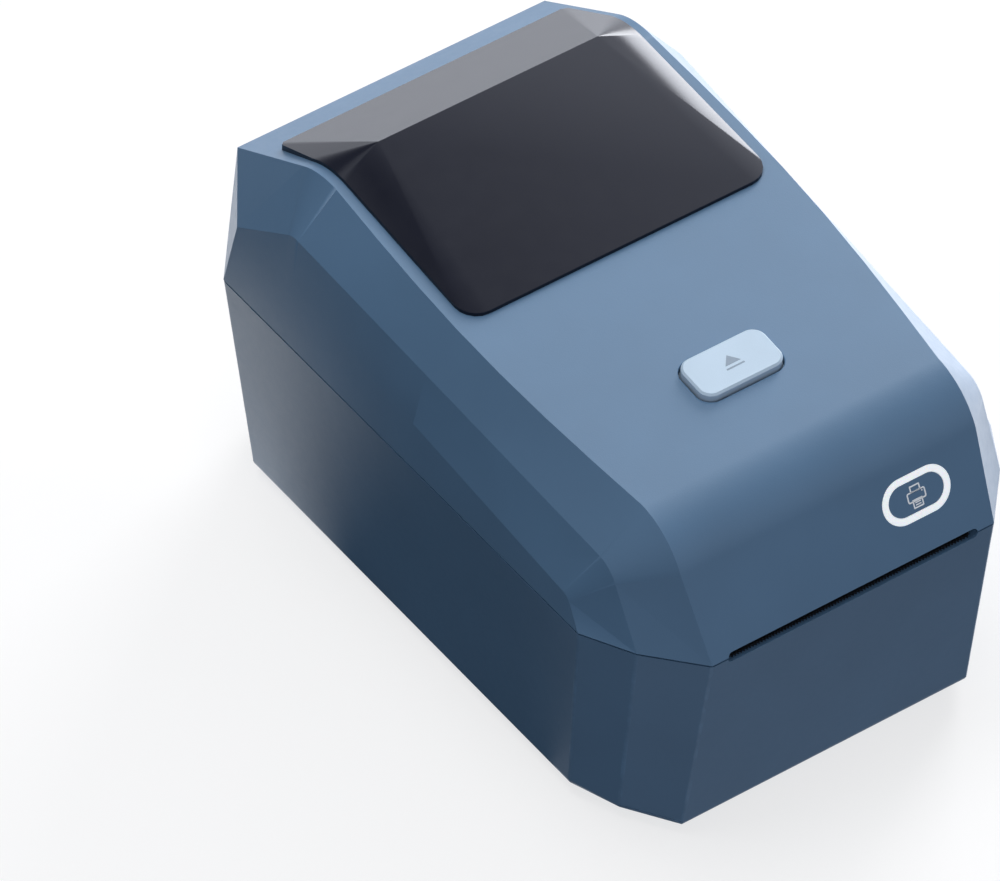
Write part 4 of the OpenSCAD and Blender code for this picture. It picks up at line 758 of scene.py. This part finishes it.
class PRINTER_OT_stage(bpy.types.Operator):
    """Sets up the floor, the lamps, the world and the camera"""

    bl_idname = "printer.stage"
    bl_label = "Studio"

    def lamp(self, name, at, size, power):
        """Square soft lamp that looks at the printer"""
        data = bpy.data.lights.new(name, "AREA")
        data.size = size
        data.energy = power
        made = bpy.data.objects.new(name, data)
        bpy.context.collection.objects.link(made)
        made.location = at
        toward = Vector(LAMP_AIM) - Vector(at)
        made.rotation_euler = toward.to_track_quat("-Z", "Y").to_euler()

    def floor(self):
        """Pale floor that only the camera sees"""
        clear_selection()
        bpy.ops.mesh.primitive_plane_add(size=FLOOR_SIZE, location=(0.0, 0.0, 0.0))
        made = bpy.context.object
        made.name = "studio_floor"
        paper = Finish("floor_paper", PAPER, 0.9)
        path = paper.node("ShaderNodeLightPath")
        white = paper.node("ShaderNodeEmission", Color=WHITE, Strength=1.0)
        mix = paper.node("ShaderNodeMixShader")
        seen = paper.node("ShaderNodeMath", operation="MULTIPLY")
        seen.inputs[1].default_value = FLOOR_WHITE
        paper.link(path.outputs["Is Camera Ray"], seen.inputs[0])
        paper.link(seen.outputs["Value"], mix.inputs[0])
        paper.link(paper.shader.outputs["BSDF"], mix.inputs[1])
        paper.link(white.outputs["Emission"], mix.inputs[2])
        paper.link(mix.outputs["Shader"],
                   paper.tree.nodes["Material Output"].inputs["Surface"])
        made.data.materials.append(paper.material)
        made.visible_diffuse = made.visible_glossy = made.visible_transmission = False
        made.visible_shadow = False

    def card(self, name, at, turn, size, glows, fade):
        """Card that only reflections show.

        It is turned by degrees about Z, and its brightness goes from the first of its glows to
        the second between the two places of the fade along its own Y.
        """
        clear_selection()
        bpy.ops.mesh.primitive_plane_add(size=1.0, location=at,
                                         rotation=(0.0, 0.0, math.radians(turn)))
        made = bpy.context.object
        made.name = name
        made.scale = (*size, 1.0)
        bpy.ops.object.transform_apply(location=False, rotation=False, scale=True)
        paper = Finish(name + "_paper", PAPER, 0.9)
        split = paper.node("ShaderNodeSeparateXYZ")
        paper.link(paper.coords, split.inputs["Vector"])
        glow = paper.node("ShaderNodeEmission", Color=WHITE)
        paper.link(paper.ramp(split.outputs["Y"], *glows, *fade), glow.inputs["Strength"])
        paper.link(glow.outputs["Emission"],
                   paper.tree.nodes["Material Output"].inputs["Surface"])
        made.data.materials.append(paper.material)
        made.visible_camera = made.visible_diffuse = made.visible_transmission = False
        made.visible_shadow = False

    def world(self, stage):
        """White backdrop for the camera, with soft glows all round that light the printer"""
        sky = bpy.context.scene.world or bpy.data.worlds.new("studio")
        bpy.context.scene.world = sky
        sky.use_nodes = True
        tree = sky.node_tree
        tree.nodes.clear()
        new, link = tree.nodes.new, tree.links.new
        toward = new("ShaderNodeTexCoord").outputs["Generated"]
        path = new("ShaderNodeLightPath")

        def maths(operation, first, second, third=0.0):
            """Sum or product of numbers and of other nodes' outputs"""
            made = new("ShaderNodeMath")
            made.operation = operation
            for socket, value in zip(made.inputs, (first, second, third)):
                if isinstance(value, float):
                    socket.default_value = value
                else:
                    link(value, socket)
            return made.outputs["Value"]

        def glow(axis, focus, strength, before):
            """Adds a soft glow, brightest toward an axis, to the light so far"""
            facing = new("ShaderNodeVectorMath")
            facing.operation = "DOT_PRODUCT"
            facing.inputs[1].default_value = Vector(axis).normalized()
            link(toward, facing.inputs[0])
            lobe = maths("POWER", maths("MAXIMUM", facing.outputs["Value"], 0.0), focus)
            return maths("MULTIPLY_ADD", lobe, strength, before)

        walls = 0.0
        for axis, setting in WALLS:
            walls = glow(axis, 1.0, getattr(stage, setting), walls)
        over_floor = maths("MINIMUM", glow((0.0, 0.0, 1.0), 1.0, WALL_RISE, 0.0), 1.0)
        light = maths("MULTIPLY_ADD", path.outputs["Is Glossy Ray"], stage.backdrop,
                      maths("MULTIPLY", walls, over_floor))
        for axis, focus, setting in GLOWS:
            light = glow(axis, focus, getattr(stage, setting), light)
        glows = new("ShaderNodeBackground")
        link(light, glows.inputs["Strength"])
        mix = new("ShaderNodeMixShader")
        link(path.outputs["Is Camera Ray"], mix.inputs[0])
        link(glows.outputs["Background"], mix.inputs[1])
        white = new("ShaderNodeBackground")
        white.inputs["Color"].default_value = WHITE
        glows.inputs["Color"].default_value = SKY
        link(white.outputs["Background"], mix.inputs[2])
        link(mix.outputs["Shader"], new("ShaderNodeOutputWorld").inputs["Surface"])

    def camera(self, lens):
        """Camera above the front left, with a long lens"""
        right = Vector((math.cos(CAMERA_TURN), math.sin(CAMERA_TURN), 0.0))
        level = math.cos(CAMERA_LIFT)
        back = Vector((math.sin(CAMERA_TURN) * level, -math.cos(CAMERA_TURN) * level,
                       math.sin(CAMERA_LIFT)))
        up = back.cross(right)
        at = CAMERA_AIM - CAMERA_LEFT * right + CAMERA_UP * up + CAMERA_BACK * back
        data = bpy.data.cameras.new("studio_camera")
        data.lens = lens
        data.sensor_width = SENSOR_WIDTH
        data.sensor_fit = "HORIZONTAL"
        data.clip_end = FAR_END
        made = bpy.data.objects.new("studio_camera", data)
        bpy.context.collection.objects.link(made)
        aim = Matrix((right, up, back)).transposed().to_4x4()
        made.matrix_world = Matrix.Translation(at) @ aim
        bpy.context.scene.camera = made

    def execute(self, context):
        stage = context.scene.printer_stage
        self.floor()
        self.lamp("lamp_top", at=(-0.18, 0.1, 1.2), size=0.7, power=stage.top)
        self.lamp("lamp_right", at=(0.96, 0.60, 0.54), size=0.5, power=stage.right)
        self.card("side_card", at=(-0.069, 0.070, 0.0005), turn=-55.0, size=(0.24, 0.14),
                  glows=(0.0, stage.card), fade=(-0.014, 0.010))
        self.card("canopy_card", at=(0.326, 0.284, 0.8), turn=-45.0, size=(0.7, 0.7),
                  glows=(stage.canopy / 12, stage.canopy), fade=(-0.04, 0.10))
        self.card("ridge_card", at=(-0.132, 0.30, 0.568), turn=0.0, size=(0.3, 0.3),
                  glows=(0.02, stage.ridge), fade=(-0.02, 0.05))
        self.world(stage)
        self.camera(stage.lens)
        context.scene.view_settings.view_transform = "Standard"
        return {"FINISHED"}


OPERATORS = (
    PRINTER_OT_shell_finish, PRINTER_OT_panel_finish, PRINTER_OT_button_finish,
    PRINTER_OT_inner_finish, PRINTER_OT_metal_finish, PRINTER_OT_tear_comb,
    PRINTER_OT_feed_icon, PRINTER_OT_open_mark, PRINTER_OT_stage,
)
SETTINGS = {
    "printer_colours": PrinterColours, "printer_edges": PrinterEdges,
    "printer_marks": PrinterMarks, "printer_stage": PrinterStage,
}
GROUPS = tuple(SETTINGS.values())


class PRINTER_PT_sidebar(bpy.types.Panel):
    """Lists the printer's settings and steps"""

    bl_label = "Label printer"
    bl_idname = "PRINTER_PT_sidebar"
    bl_space_type = "VIEW_3D"
    bl_region_type = "UI"
    bl_category = "Label printer"

    def draw(self, context):
        for name in SETTINGS:
            group = getattr(context.scene, name)
            box = self.layout.box()
            for key in group.__annotations__:
                box.prop(group, key)
        for step in OPERATORS:
            self.layout.operator(step.bl_idname)


def register():
    """Adds the settings, the operators and the sidebar panel"""
    for made in GROUPS + OPERATORS + (PRINTER_PT_sidebar,):
        bpy.utils.register_class(made)
    for name, group in SETTINGS.items():
        setattr(bpy.types.Scene, name, PointerProperty(type=group))


def unregister():
    """Takes away what register added"""
    for name in SETTINGS:
        delattr(bpy.types.Scene, name)
    for made in reversed(GROUPS + OPERATORS + (PRINTER_PT_sidebar,)):
        bpy.utils.unregister_class(made)


def main():
    """Runs every operator in order"""
    register()
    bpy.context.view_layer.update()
    for step in OPERATORS:
        group, name = step.bl_idname.split(".")
        getattr(getattr(bpy.ops, group), name)()


if __name__ == "__main__":
    main()
